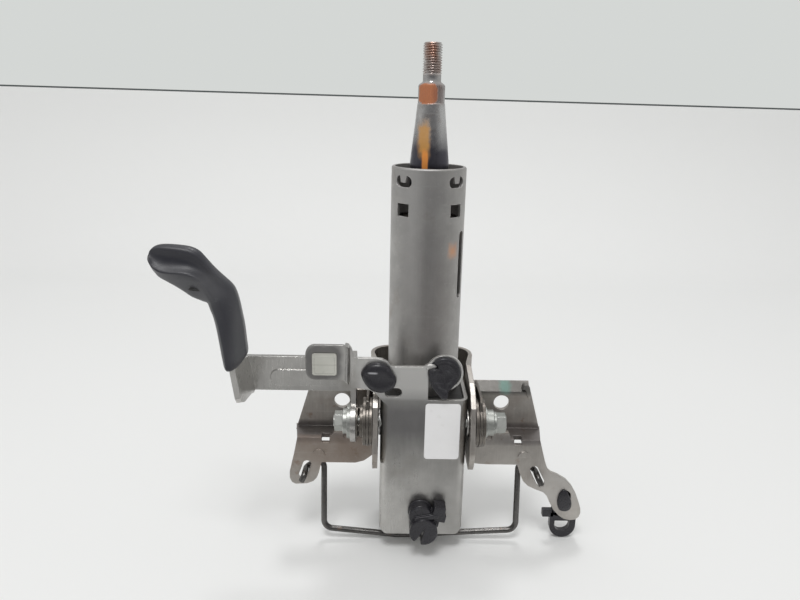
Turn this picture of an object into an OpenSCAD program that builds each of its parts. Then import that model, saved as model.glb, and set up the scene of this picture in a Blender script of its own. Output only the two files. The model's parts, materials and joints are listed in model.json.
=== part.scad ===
// Adjustable steering column, upper part, standing on its lower shaft end.
// X right, Y away from the viewer, Z up along the column axis; millimetres.

/* [Jacket tube] */
// outside diameter of the sliding jacket tube
tube_od = 48.6; // [47.6:0.1:49.4]
// wall of the jacket tube
tube_wall = 2.0; // [1.8:0.1:2.2]
// height of the tube's top rim
tube_top = 264; // [258:1:270]

/* [Column body] */
// sheet thickness of the column body
body_t = 2.6; // [2.2:0.1:3.0]
// running liner between tube and body wall
liner = 2.1; // [1.8:0.1:2.4]
// height of the body's lower edge
body_bottom = 14; // [13:0.5:15]
// height of the body's wall tops
body_top = 115.6; // [114:0.4:117.2]
// depth of the body walls behind the axis
body_rear = 21; // [18:1:22]

/* [Shafts] */
// wheel stud thread diameter
stud_d = 12; // [11:0.5:12.5]
// length of the stud thread
stud_len = 19; // [17:0.5:20]
// serrated seat diameter
serration_d = 16.8; // [16:0.2:17.4]
// diameter of the lower shaft
lower_d = 17; // [16.4:0.2:17.4]

/* [Clamp] */
// clamp bolt shank diameter
bolt_d = 7.8; // [7.2:0.1:8.0]
// height of the clamp bolt
bolt_z = 96.5; // [95.5:0.5:97.5]
// hexagon across flats on bolt and nut
hex_af = 12; // [11:0.5:13]

/* [Mounting bracket] */
// sheet thickness of the tilt bracket
bracket_t = 3.4; // [3.0:0.1:3.6]
// sheet thickness of the wings
wing_t = 3.2; // [2.8:0.1:3.4]
// distance between the two mounting holes
hole_span = 113; // [109:1:117]
// mounting hole diameter
hole_d = 11; // [9:0.5:12]
// wire diameter of the bail
wire_d = 4; // [3.4:0.2:4.2]

/* [Lever] */
// lever plate thickness
lever_t = 3.6; // [3.2:0.1:3.8]
// height of the lever strip
strip_h = 23.5; // [21:0.5:25]

/* [Hidden] */
$fn = 64;
tube_r = tube_od / 2;
tube_ir = tube_r - tube_wall;
tube_bottom = 50;
inner_w = tube_r + liner;             // inside half width of the body
body_w = inner_w + body_t;            // outside half width of the body
bolt_r = bolt_d / 2;
bolt_y = -(tube_r + 0.8 + bolt_r);
body_in = bolt_y - bolt_r - 0.6;      // inner face of the front sheet
body_front = body_in - body_t;        // outer face of the front sheet
run = 0.3;                            // gap kept between moving bodies
spacer_t = 1.0;
plate_in = body_w + spacer_t + 2 * run;
plate_out = plate_in + bracket_t;
pivot_y = 14;
pivot_z = 34;
pivot_r = 4;
tilt_r = sqrt(pow(bolt_y - pivot_y, 2) + pow(bolt_z - pivot_z, 2));
tilt_a = atan2(bolt_z - pivot_z, bolt_y - pivot_y);
tilt_span = 4.4;                      // half angle cut in the tilt slots
rivet_at = [[-9, bolt_z - 11], [-8.7, bolt_z + 16.5]];
slot_r = bolt_r + 0.6;
disc_r = 16;
plate_r = 16.4;                       // friction plates round the bolt
// clamp stack, measured outward from the tilt bracket's outer face
disc_t = 2.0;
friction_t = 1.6;
s1 = plate_out + run;                 // inner friction disc
s2 = s1 + disc_t + run;               // fixed friction plate
s3 = s2 + friction_t + run;           // outer friction disc
s4 = s3 + disc_t;                     // cam or thrust washer
cam_t = 3.2;
s5 = s4 + cam_t + run;                // moving cam
s6 = s5 + 1.2;                        // lever hub
s7 = s6 + lever_t;                    // washer
washer_t = 5.2;
s8 = s7 + washer_t;                   // nut
nut_t = 5.6;
head_x = s4 + cam_t + 3.6;            // bolt head on the right
head_t = 8;
// bracket places
nose_y = body_front - 8;
rear_in = 36;
rear_w = plate_out + 3;
arch_t = bracket_t - 0.8;             // the arch is drawn thinner
wing_y = -4;                          // front face of the wings
strip_y = -22;                        // front face of the strips
shelf_z = 77;
strip_lo = 61;
wing_top = 108.5;
flange_l = 9;
bail_z = 8.5;                         // height of the bail's lower bar
bail_a = 9.65;                        // lean of the bail's legs
// strap on the body's front sheet
strap_top = body_top + 24.5;
tab_y = body_front - 7;
plug_l = [-30, body_top + 17];
plug_rt = [12.4, body_top + 19.2];
plug_d = 21.4;
hook_r = plug_d / 2 + 1.5;            // outer radius of the hook round the right plug
fold_x = -53;                         // where the step from tab to strap begins
pad_c = [-64.8, body_top + 27.2];
// shafts
stud_top = tube_top + 75;
neck_z = stud_top - stud_len;
seat_top = stud_top - 25;
seat_lo = stud_top - 36.5;
journal_top = tube_top + 2;
bearing_z = tube_top - 20;
bearing_h = 12;
journal_d = tube_od - 23.6;           // upper shaft in its bearing
shaft_od = journal_d - 2;
shaft_lo = 92;
lower_top = 190;
lower_bearing_h = 12;
lower_bearing_r = 17.5;
flat_w = lower_d * 0.76;
clear = 0.1;
// lever places
strip_front = body_in + 1.4;          // front face of the lever strip
lever_top = bolt_z + 46.6;
lever_lo = lever_top - strip_h;
lever_end = -113;
grip_y = -60;
lever_lean = 9;                       // lean of the folded end

tilt_bracket();
wing_left();
wing_right();
friction_plate_left();
friction_plate_right();
plate_rivets();
bail();
ear_clip();
column_body();
end_plate();
liner_upper();
liner_lower();
lower_bearing();
tilt_spacers();
friction_discs();
fixed_cam();
thrust_washer();
cover_grommet();
plug_left();
plug_right();
harness_clip();
jacket_tube();
upper_bearing();
retaining_ring();
upper_shaft();
upper_inner_ring();
lower_shaft();
lower_inner_ring();
shaft_clip();
lever_plate();
lever_grip();
moving_cam();
clamp_bolt();
lever_washer();
lever_nut();

// a rounded rectangle from (x0, y0) to (x1, y1)
module rounded(x0, y0, x1, y1, r) {
    translate([x0 + r, y0]) square([x1 - x0 - 2 * r, y1 - y0]);
    translate([x0, y0 + r]) square([x1 - x0, y1 - y0 - 2 * r]);
    for (x = [x0 + r, x1 - r], y = [y0 + r, y1 - r]) translate([x, y]) circle(r);
}

// a sheet drawn as (x, z), with its front face at y and thickness t behind it
module upright(y, t) {
    translate([0, y + t, 0]) rotate([90, 0, 0]) linear_extrude(t) children();
}

// a sheet drawn as (y, z), from x to x + t
module sideways(x, t) {
    translate([x, 0, 0]) rotate([90, 0, 90]) linear_extrude(t) children();
}

// a cylinder along X from x0 to x1, on the clamp bolt's axis
module on_bolt(x0, x1, r) {
    translate([x0, bolt_y, bolt_z]) rotate([0, 90, 0]) cylinder(r = r, h = x1 - x0);
}

// a hexagonal prism along X on the bolt's axis
module hex_on_bolt(x0, x1) {
    translate([x0, bolt_y, bolt_z]) rotate([0, 90, 0])
        rotate(30) cylinder(d = hex_af / cos(30), h = x1 - x0, $fn = 6);
}

// a quarter bend of wire about the Z axis, from +X to +Y
module bend(r) {
    rotate_extrude(angle = 90) translate([r, 0]) circle(d = wire_d, $fn = 32);
}

// the tilt slot, an arc about the pivot, drawn as (y, z)
module tilt_slot(r) {
    translate([pivot_y, pivot_z]) {
        intersection() {
            difference() {
                circle(tilt_r + r - 0.1, $fn = 128);
                circle(tilt_r - r + 0.1, $fn = 128);
            }
            polygon([[0, 0],
                2 * tilt_r * [cos(tilt_a - tilt_span), sin(tilt_a - tilt_span)],
                2 * tilt_r * [cos(tilt_a + tilt_span), sin(tilt_a + tilt_span)]]);
        }
        for (s = [-1, 1]) rotate(tilt_a + s * tilt_span) translate([tilt_r, 0]) circle(r);
    }
}

module tilt_bracket() {
    color([0.62, 0.61, 0.60])
    difference() {
        intersection() {
            translate([0, 0, 50]) linear_extrude(90) difference() {
                union() {
                    rounded(-rear_w, 6, rear_w, rear_in + bracket_t, 15);
                    translate([-plate_out, nose_y]) square([2 * plate_out, 30 - nose_y]);
                    polygon([[-plate_out, 2], [plate_out, 2], [rear_w, 22], [-rear_w, 22]]);
                }
                rounded(-rear_w + arch_t, -10, rear_w - arch_t, rear_in + bracket_t - arch_t, 15 - arch_t);
                translate([-plate_in, nose_y - 1]) square([2 * plate_in, 32 - nose_y]);
            }
            union() {
                sideways(-rear_w - 1, 2 * rear_w + 2)
                    polygon([[nose_y, 80], [nose_y + 1.5, 72.5], [nose_y + 6, 66], [20, 66],
                        [rear_in + 5, 74], [rear_in + 5, 126.5], [0, 126.5], [-22, 122],
                        [nose_y + 12, 118], [nose_y + 5, 111], [nose_y + 1.5, 102], [nose_y, 92]]);
            }
        }
        // the wide rear gives way to the plates in front of it
        translate([-plate_in, -8, 49]) cube([2 * plate_in, 20, 92]);
        for (x = [-rear_w - 1, plate_in - 1]) sideways(x, rear_w - plate_in + 2) tilt_slot(slot_r);
    }
    // the inner ends of the taper
    color([0.62, 0.61, 0.60]) intersection() {
        translate([0, 0, 50]) linear_extrude(76.5) for (s = [-1, 1]) polygon([[s * plate_in, -9],
            [s * plate_out, -9], [s * plate_out, 2], [s * rear_w, 22], [s * (rear_w - arch_t), 22],
            [s * plate_in, 3]]);
        sideways(-rear_w - 1, 2 * rear_w + 2)
            polygon([[nose_y + 9, 66], [20, 66], [40, 70], [40, 126.5], [0, 126.5], [-22, 122],
                [nose_y + 12, 118]]);
    }
}

// one wing: mounting plate, shelf, front strip and the tab drawn by the children;
// e holds its outer edges from the top down, curl lifts the strip's inner corner
module wing(s, e, curl, slot_a, slot_b) {
    difference() {
        union() {
            upright(wing_y, wing_t) polygon([[s * plate_out, shelf_z], [s * e[1], shelf_z],
                [s * e[0], wing_top], [s * plate_out, wing_top]]);
            // stiffening flange, folded back
            translate([s > 0 ? plate_out + 2 : 1 - e[0], wing_y, wing_top - 0.6]) rotate([-42, 0, 0])
                cube([e[0] - plate_out - 3, wing_t, flange_l]);
            translate([0, 0, shelf_z]) linear_extrude(wing_t) polygon([[s * plate_out, strip_y],
                [s * e[2], strip_y], [s * e[1], wing_y + wing_t], [s * plate_out, wing_y + wing_t]]);
            upright(strip_y, wing_t) polygon([[s * plate_out, strip_lo + curl],
                [s * (plate_out + 6), strip_lo + curl * 0.27], [s * (plate_out + 12), strip_lo],
                [s * e[3], strip_lo], [s * e[2], shelf_z + wing_t], [s * plate_out, shelf_z + wing_t]]);
            upright(strip_y, wing_t) children();
            // half-round pip pressed in the strip
            intersection() {
                translate([s * 71.5, strip_y, 67]) rotate([90, 0, 0]) cylinder(r = 4.2, h = 0.7);
                translate([s * 71.5 - 6, strip_y - 2, 67]) cube([12, 4, 8]);
            }
        }
        translate([s * hole_span / 2, wing_y - 1, 100]) rotate([-90, 0, 0]) cylinder(d = hole_d, h = 8);
        // relief slot through shelf and bend
        translate([s * 66.8 - 2.8, strip_y - 1, shelf_z - 0.8])
            cube([5.6, wing_t + 4.2, wing_t + 3]);
        hull_slot(slot_a, slot_b);
    }
}

// the oblong slot that takes a bail end
module hull_slot(a, b) {
    d = b - a;
    upright(strip_y - 1, wing_t + 2) {
        for (p = [a, b]) translate(p) circle(d = wire_d + 2);
        translate(a) rotate(atan2(d[1], d[0])) translate([0, -wire_d / 2 - 0.9]) square([norm(d), wire_d + 1.8]);
    }
}

module wing_left() {
    color([0.52, 0.47, 0.44])
    wing(-1, [79.8, 89.4, 86.2, 90], 6.6, [-79.8, 59.3], [-83, 50.3]) {
        polygon([[-64, 64], [-64, 61.4], [-69.6, 61.4], [-71.6, 53], [-73, 49], [-75.6, 46], [-80, 44.2],
            [-88, 43.8], [-90.6, 45.2], [-92, 48.5], [-92, 53.5], [-87, 75], [-80, 75]]);
        // short upstanding tab beside the clamp
        polygon([[-54.6, shelf_z], [-63, shelf_z], [-63, shelf_z + 4.5], [-61, shelf_z + 7],
            [-54.6, shelf_z + 7]]);
    }
}

module wing_right() {
    color([0.55, 0.54, 0.52])
    difference() {
        wing(1, [76.8, 85.7, 82, 87.4], 1.2, [79.6, 57], [85, 46.4]) {
            polygon([[64, 64], [64, 61.4], [67.3, 60.8], [69.8, 53.5], [72.3, 48], [75.8, 44.4], [81, 41.8],
                [87.3, 39.3], [90, 36.5], [92, 32], [95.5, 25.4], [100, 20.4], [104, 17.8], [108, 16.8],
                [112, 17.4], [114.4, 19.6], [115.3, 23], [115, 26.5], [112.8, 33], [110.3, 39.1],
                [107.3, 44.3], [102.9, 49.1], [96.6, 52.9], [92, 54.8], [89.4, 57], [87.6, 61], [82.8, 75],
                [80, 75]]);
            // short upstanding tab beside the clamp
            polygon([[48.4, shelf_z], [61.5, shelf_z], [61.5, shelf_z + 4.4], [59.8, shelf_z + 8.8],
                [49.6, shelf_z + 8.8], [48.4, shelf_z + 5.4]]);
        }
        upright(strip_y - 1, wing_t + 2) ear_oval(0);
    }
}

// the ear's oval hole
module ear_oval(less) {
    for (z = [29, 36.6]) translate([103, z]) circle(4.2 - less);
    translate([98.8 + less, 29]) square([8.4 - 2 * less, 7.6]);
}

// friction plate fixed beside the tilt bracket, on side s
module friction_plate(s) {
    difference() {
        sideways(s > 0 ? s2 : -s2 - friction_t, friction_t) difference() {
            union() {
                translate([bolt_y, bolt_z]) circle(plate_r);
                polygon([[bolt_y, bolt_z - plate_r + 2], [-5.4, bolt_z - plate_r + 2], [-5.4, bolt_z + 21],
                    [bolt_y - 5, bolt_z + 21], [bolt_y - 9, bolt_z + 18.6], [bolt_y - 11.4, bolt_z + 8],
                    [bolt_y, bolt_z]]);
            }
            tilt_slot(slot_r);
        }
        translate([0, -5.4, 60]) mirror([s > 0 ? 0 : 1, 0, 0]) cube([60, 40, 70]);
        rivet_set(s, 1.9);
    }
}

module friction_plate_left() { color([0.66, 0.64, 0.62]) friction_plate(-1); }
module friction_plate_right() { color([0.66, 0.64, 0.62]) friction_plate(1); }

// the two rivets of one side, as plain pins of radius r
module rivet_set(s, r) {
    for (p = rivet_at)
        translate([s > 0 ? plate_out : -s2 - friction_t, p[0], p[1]]) rotate([0, 90, 0])
            cylinder(r = r, h = s2 + friction_t - plate_out);
}

module plate_rivets() {
    color([0.5, 0.5, 0.5]) for (s = [-1, 1]) {
        rivet_set(s, 1.9);
        for (p = rivet_at)
            translate([s > 0 ? plate_out : -s2, p[0], p[1]]) rotate([0, 90, 0])
                cylinder(r = 3, h = s2 - plate_out);
    }
}

// one leg of the bail with its hook at x = xh, in the bail's own plane
module bail_leg(xh) {
    reach = (22 + wire_d / 2 + 0.4 - 14.45) / cos(bail_a) - 7;
    translate([63.4, 0, 5]) rotate([90, 0, 0]) rotate(-90) bend(5);
    translate([68.4, 0, 5]) cylinder(d = wire_d, h = 36, $fn = 32);
    translate([72.4, 0, 41]) rotate([90, 0, 0]) rotate(90) bend(4);
    translate([72.4, 0, 45]) rotate([0, 90, 0]) cylinder(d = wire_d, h = xh - 76.4, $fn = 32);
    translate([xh - 4, -4, 45]) bend(4);
    translate([xh, -4, 45]) rotate([90, 0, 0]) cylinder(d = wire_d, h = reach, $fn = 32);
    translate([xh, -4 - reach, 42]) rotate([90, 0, 90]) rotate(90) bend(3);
    translate([xh, -7 - reach, 36.6]) cylinder(d = wire_d, h = 5.4, $fn = 32);
}

module bail() {
    color([0.26, 0.24, 0.23]) translate([0, strip_y, bail_z]) rotate([-bail_a, 0, 0]) {
        translate([-63.4, 0, 0]) rotate([0, 90, 0]) cylinder(d = wire_d, h = 126.8, $fn = 32);
        bail_leg(81.4);
        mirror([1, 0, 0]) bail_leg(81.8);
    }
}

module ear_clip() {
    y0 = strip_y + wing_t;
    color([0.09, 0.09, 0.1]) {
        upright(strip_y - 0.8, wing_t + 0.8) ear_oval(0.02);
        upright(y0, 3) rounded(95.5, 22, 109, 42, 4);
        upright(y0, 6) rounded(88.6, 23.5, 97, 31, 1);
        upright(y0, 9) difference() {
            union() {
                translate([104, 9]) circle(8.6);
                translate([95.8, 11]) square([16, 13]);
            }
            rounded(98.6, 6.6, 108.6, 12.8, 2.8);
        }
    }
}

// the body's U section, drawn as (x, y)
module u_section() {
    difference() {
        union() {
            rounded(-body_w, body_front, body_w, body_front + 20, 6);
            translate([-body_w, body_front + 8]) square([2 * body_w, body_rear - body_front - 8]);
        }
        rounded(-inner_w, body_in, inner_w, body_in + 16, 6 - body_t);
        translate([-inner_w, body_in + 6]) square([2 * inner_w, body_rear - body_in]);
    }
}

// the step between tab and strap, drawn as (x, y)
module step_section() {
    translate([fold_x - 6, tab_y]) square([6, body_t]);
    translate([fold_x, tab_y + body_t + 1]) rotate(-90) quarter_bend();
    translate([fold_x + 1, tab_y + body_t + 1]) square([body_t, body_front - tab_y - body_t - 2]);
    translate([fold_x + body_t + 2, body_front - 1]) rotate(90) quarter_bend();
    translate([fold_x + body_t + 2, body_front]) square([4, body_t]);
}

// a quarter turn of the body's sheet, drawn from +X to +Y
module quarter_bend() {
    intersection() {
        difference() {
            circle(body_t + 1);
            circle(1);
        }
        square(body_t + 2);
    }
}

module column_body() {
    color([0.6, 0.59, 0.57])
    difference() {
        union() {
            intersection() {
                translate([0, 0, body_bottom]) linear_extrude(body_top - body_bottom) u_section();
                // rounded lower corners of the walls' silhouette
                upright(body_front - 1, body_rear - body_front + 2)
                    rounded(-body_w, body_bottom, body_w, body_top + 12, 6);
            }
            // strap above the front sheet, with the hook round the right plug
            upright(body_front, body_t) difference() {
                union() {
                    polygon([[-46.4, body_top + 8], [-46.4, body_top + 29.4], [-44.5, body_top + 28.8],
                        [-33, body_top + 28.8], [-28, body_top + 28.2], [-24.5, body_top + 26.2],
                        [-22.4, body_top + 23.8], [-20, body_top + 23.2], [-1.2, body_top + 23.4],
                        [2.1, body_top + 25.6], [2.1, body_top - 6], [-body_w + 6, body_top - 6],
                        [-body_w + 1, body_top - 1], [-32, body_top + 4], [-36, body_top + 6.6]]);
                    difference() {
                        translate(plug_rt) circle(hook_r);
                        translate(plug_rt) polygon([[0, 0], [-30, -2], [-30, -30], [8, -30]]);
                    }
                }
                translate(plug_rt) circle(plug_d / 2 + 0.1);
                rounded(-26.4, body_top + 1.7, -15, body_top + 8.2, 3.1);
            }
            // step to the tab at the left end
            intersection() {
                translate([0, 0, body_top + 4]) linear_extrude(40) step_section();
                upright(tab_y - 1, 14) polygon([[-60, body_top + 16.4], [-52.6, body_top + 16.2],
                    [-49.4, body_top + 12], [-48, body_top + 8.6], [-43, body_top + 8.2],
                    [-43, body_top + 28.8], [-46.6, body_top + 29.6], [-48, body_top + 35],
                    [-50, body_top + 38], [-53, body_top + 39.8], [-60, body_top + 39.8]]);
            }
            upright(tab_y, body_t) {
                rounded(-76.8, body_top + 16.4, -60, body_top + 39.8, 6);
                translate([-66, body_top + 16.4]) square([10, 23.4]);
            }
        }
        // clamp bolt and lower pivot
        on_bolt(-body_w - 1, body_w + 1, bolt_r + 0.3);
        translate([-body_w - 1, pivot_y, pivot_z]) rotate([0, 90, 0]) cylinder(r = pivot_r, h = 2 * body_w + 2);
        // plug, clip and grommet seats
        for (p = [plug_l]) translate([p[0], body_front - 1, p[1]]) rotate([-90, 0, 0])
            cylinder(r = 4, h = body_t + 2);
        translate([2, body_front - 1, 33]) rotate([-90, 0, 0]) cylinder(r = 3.5, h = body_t + 2);
        translate([pad_c[0], tab_y - 1, pad_c[1]]) rotate([-90, 0, 0])
            cylinder(r = 3.5, h = body_t + 2);
    }
}

module end_plate() {
    color([0.5, 0.5, 0.5])
    difference() {
        union() {
            translate([0, 0, body_bottom + 2]) linear_extrude(3)
                difference() {
                    union() {
                        rounded(-inner_w, body_in, inner_w, body_in + 16, 6 - body_t);
                        translate([-inner_w, body_in + 6]) square([2 * inner_w, body_rear - body_in - 6]);
                    }
                }
            translate([0, 0, body_bottom + 2]) cylinder(r = lower_bearing_r + 2.4, h = lower_bearing_h - 1);
        }
        translate([0, 0, body_bottom + 3.6]) cylinder(r = lower_bearing_r, h = lower_bearing_h + 2);
        translate([0, 0, body_bottom]) cylinder(r = lower_bearing_r - 3, h = 20);
        // room for the lower corners
        for (s = [-1, 1]) translate([s * inner_w, 0, body_bottom + 2]) rotate([0, 45, 0])
            cube([2.6, 120, 2.6], center = true);
    }
}

// a plastic liner block between body and tube
module liner_block(z0, z1) {
    difference() {
        translate([0, 0, z0]) linear_extrude(z1 - z0) {
            rounded(-inner_w, body_in, inner_w, body_in + 16, 6 - body_t);
            translate([-inner_w, body_in + 6]) square([2 * inner_w, body_rear - 3 - body_in - 6]);
        }
        translate([0, 0, z0 - 1]) cylinder(r = tube_r + 0.06, h = z1 - z0 + 2);
    }
}

module liner_upper() { color([0.12, 0.12, 0.12]) liner_block(104, 113); }
module liner_lower() { color([0.12, 0.12, 0.12]) liner_block(72, 82); }

module lower_bearing() {
    color([0.7, 0.7, 0.72])
    translate([0, 0, body_bottom + 3.6]) difference() {
        cylinder(r = lower_bearing_r, h = lower_bearing_h - 3);
        translate([0, 0, -1]) cylinder(r = lower_d / 2 + 4.4, h = lower_bearing_h);
    }
}

module tilt_spacers() {
    color([0.7, 0.69, 0.67]) for (x = [-body_w - spacer_t, body_w]) difference() {
        on_bolt(x, x + spacer_t, 9);
        on_bolt(x - 1, x + spacer_t + 1, bolt_r + 0.3);
    }
}

module friction_discs() {
    color([0.66, 0.65, 0.63]) for (a = [s1, s3], s = [-1, 1]) difference() {
        on_bolt(s > 0 ? a : -a - disc_t, s > 0 ? a + disc_t : -a, disc_r);
        on_bolt(-80, 80, bolt_r + 0.3);
    }
}

module fixed_cam() {
    color([0.42, 0.41, 0.4]) difference() {
        union() {
            on_bolt(-s4 - cam_t + 1, -s4, 11);
            for (a = [0, 90, 180, 270]) translate([-s4 - cam_t, bolt_y, bolt_z]) rotate([a, 0, 0])
                translate([0, 6, -2]) cube([cam_t, 4.4, 4]);
        }
        on_bolt(-80, 0, bolt_r + 0.3);
    }
}

module thrust_washer() {
    color([0.72, 0.72, 0.7]) difference() {
        union() {
            on_bolt(s4, s4 + 2, 10.5);
            on_bolt(s4 + 2, head_x - run, 8.8);
        }
        on_bolt(0, 90, bolt_r + 0.3);
    }
}

module cover_grommet() {
    color([0.72, 0.72, 0.68]) difference() {
        union() {
            upright(tab_y - 1.8, 1.8) rounded(pad_c[0] - 7.8, pad_c[1] - 7.4, pad_c[0] + 7.8, pad_c[1] + 7.4, 1.6);
            translate([pad_c[0], tab_y - 0.01, pad_c[1]]) rotate([-90, 0, 0]) cylinder(r = 3.5, h = body_t + 4);
        }
        translate([pad_c[0], tab_y + 1, pad_c[1]]) rotate([-90, 0, 0]) cylinder(r = 1.6, h = 8);
    }
}

// a domed plug in the strap
module plug(p, lift) {
    translate([p[0], body_front, p[1]]) rotate([90, 0, 0]) rotate_extrude()
        polygon([[0, -body_t - 4], [2.6, -body_t - 4], [4, -body_t], [4, 0], [plug_d / 2 - 0.8, 0],
            [plug_d / 2, 0.9], [plug_d / 2, 2.6], [plug_d / 2 - 2, lift - 1], [plug_d / 2 - 5, lift], [0, lift]]);
}

module plug_left() { color([0.07, 0.07, 0.08]) plug(plug_l, 5); }

module plug_right() {
    color([0.07, 0.07, 0.08]) {
        translate([plug_rt[0], body_front + body_t, plug_rt[1]]) rotate([90, 0, 0]) rotate_extrude()
            polygon([[0, -6], [8, -6], [9, -4], [plug_d / 2, -2], [plug_d / 2, body_t + 2],
                [plug_d / 2 - 2.4, body_t + 3.6], [3, body_t + 4.2], [0, body_t + 4.2]]);
        upright(body_front - 2.4, body_t + 2.4) polygon([[4.6, body_top + 12], [5.2, body_top + 6],
            [8.6, body_top + 2.4], [11, body_top + 1.2], [14.4, body_top + 1.4], [15, body_top + 8],
            [14, body_top + 12]]);
    }
}

module harness_clip() {
    y0 = body_front;
    color([0.07, 0.07, 0.08]) {
        translate([2, y0, 33]) rotate([-90, 0, 0]) cylinder(r = 3.5, h = body_t + 4);
        translate([-0.6, y0, 33.4]) rotate([90, 0, 0]) cylinder(r = 9, h = 4);
        translate([-2, y0 - 9, 28]) cube([13, 9, 9]);
        translate([11.2, y0 - 4, 36]) rotate([0, -12, 0]) cube([10.4, 8, 14.6], center = true);
        upright(y0 - 12, 11) difference() {
            translate([1.4, 23.4]) circle(9.6);
            translate([0.6, 22.4]) circle(3.2);
            translate([-0.4, 22.4]) rotate(-102) square([14, 1.8]);
        }
    }
}

// the windows, drawn on the tube's front and turned by a
module tube_windows() {
    for (a = [-44.5, 44.5]) rotate(a) {
        // kidney window with its tongue
        translate([0, -tube_r - 1, tube_top - 8.4]) rotate([-90, 0, 0]) linear_extrude(tube_wall + 6)
            difference() {
                rounded(-6.5, -3.6, 6.5, 3.6, 3.4);
                polygon([[-2.8, -3.8], [2.8, -3.8], [1.8, 0.6], [-1.8, 0.6]]);
            }
        translate([-4.8, -tube_r - 1, tube_top - 30.6]) cube([9.6, tube_wall + 6, 8.4]);
    }
    rotate(63) translate([0, -tube_r - 1, 0]) rotate([-90, 0, 0]) linear_extrude(tube_wall + 6)
        rounded(-3, 40 - tube_top, 3, 85 - tube_top, 2.9);
}

module jacket_tube() {
    color([0.72, 0.70, 0.68]) difference() {
        translate([0, 0, tube_bottom]) rotate_extrude($fn = 128) polygon([[tube_ir, 0], [tube_r, 0],
            [tube_r, tube_top - tube_bottom - 0.9], [tube_r - 0.7, tube_top - tube_bottom],
            [tube_ir, tube_top - tube_bottom]]);
        tube_windows();
    }
}

module upper_bearing() {
    color([0.6, 0.6, 0.62]) translate([0, 0, bearing_z - bearing_h - 14]) difference() {
        cylinder(r = tube_ir, h = bearing_h);
        translate([0, 0, -1]) cylinder(r = journal_d / 2 + 4.6, h = bearing_h + 2);
    }
}

module retaining_ring() {
    color([0.3, 0.3, 0.31]) translate([0, 0, bearing_z - 14]) difference() {
        cylinder(r = tube_ir, h = 1.6);
        translate([0, 0, -1]) cylinder(r = tube_ir - 2.4, h = 4);
        translate([-2, -tube_r, -1]) cube([4, tube_r, 4]);
    }
}

module upper_shaft() {
    color([0.66, 0.6, 0.55]) difference() {
        rotate_extrude($fn = 96) polygon([[0, shaft_lo], [shaft_od / 2, shaft_lo],
            [shaft_od / 2, bearing_z - bearing_h - 20], [journal_d / 2 + 2, bearing_z - bearing_h - 18],
            [journal_d / 2 + 2, bearing_z - bearing_h - 14], [journal_d / 2, bearing_z - bearing_h - 14],
            [journal_d / 2, journal_top], [serration_d / 2 + 0.25, seat_lo], [serration_d / 2, seat_lo + 1],
            [serration_d / 2, seat_top - 1], [stud_d / 2 - 0.5, seat_top + 2], [stud_d / 2 - 0.5, neck_z],
            [stud_d / 2, neck_z + 0.4], [stud_d / 2, stud_top - 0.8], [stud_d / 2 - 0.9, stud_top], [0, stud_top]]);
        translate([0, 0, shaft_lo - 1]) linear_extrude(lower_top + 24 - shaft_lo) double_d(clear);
    }
}

// the sliding section of both shafts: round with two flats
module double_d(more) {
    intersection() {
        circle(lower_d / 2 - 1 + more);
        square([flat_w + 2 * more, 40], center = true);
    }
}

module upper_inner_ring() {
    color([0.75, 0.75, 0.77]) translate([0, 0, bearing_z - bearing_h - 14]) difference() {
        cylinder(r = journal_d / 2 + 4.3, h = bearing_h);
        translate([0, 0, -1]) cylinder(r = journal_d / 2, h = bearing_h + 2);
    }
}

module lower_shaft() {
    color([0.6, 0.58, 0.56]) {
        rotate_extrude() polygon([[0, 0], [lower_d / 2 - 0.6, 0],
            [lower_d / 2 - 0.6, 11], [lower_d / 2, 12], [lower_d / 2, body_bottom + lower_bearing_h + 0.6],
            [lower_d / 2 - 0.9, body_bottom + lower_bearing_h + 0.6],
            [lower_d / 2 - 0.9, body_bottom + lower_bearing_h + 2], [lower_d / 2, body_bottom + lower_bearing_h + 2],
            [lower_d / 2, 40], [lower_d / 2 - 1.2, 41.2], [0, 41.2]]);
        translate([0, 0, 40]) linear_extrude(lower_top - 40) double_d(0);
    }
}

module lower_inner_ring() {
    color([0.75, 0.75, 0.77]) translate([0, 0, body_bottom + 3.6]) difference() {
        cylinder(r = lower_d / 2 + 4.1, h = lower_bearing_h - 3);
        translate([0, 0, -1]) cylinder(r = lower_d / 2, h = lower_bearing_h);
    }
}

module shaft_clip() {
    color([0.3, 0.3, 0.31]) translate([0, 0, body_bottom + lower_bearing_h + 0.6]) difference() {
        cylinder(r = lower_d / 2 + 2, h = 1.4);
        translate([0, 0, -1]) cylinder(r = lower_d / 2 - 0.9, h = 4);
        translate([-2, -20, -1]) cube([4, 20, 4]);
    }
}

module lever_plate() {
    color([0.7, 0.67, 0.63]) difference() {
        union() {
            // hub and arm
            sideways(-s7, lever_t) {
                translate([bolt_y, bolt_z]) circle(14);
                polygon([[strip_front, bolt_z], [strip_front, lever_top], [strip_front + 13, lever_top],
                    [strip_front + 15, lever_top - 4], [bolt_y + 13.4, bolt_z]]);
            }
            // strip across the front
            upright(strip_front, lever_t) polygon([[-s6, lever_lo], [-s6, lever_top],
                [lever_end - lever_t / 2 - 1.8, lever_top], [lever_end - lever_t / 2 + 1.8, lever_lo]]);
            folded_end();
            // rib pressed in the strip
            upright(strip_front - 1.2, 1.4)
                rounded(lever_end + 12, lever_lo + 3.8, -s7 - 8, lever_lo + 14.8, 5.2);
        }
        on_bolt(-90, 0, bolt_r);
    }
}

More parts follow.
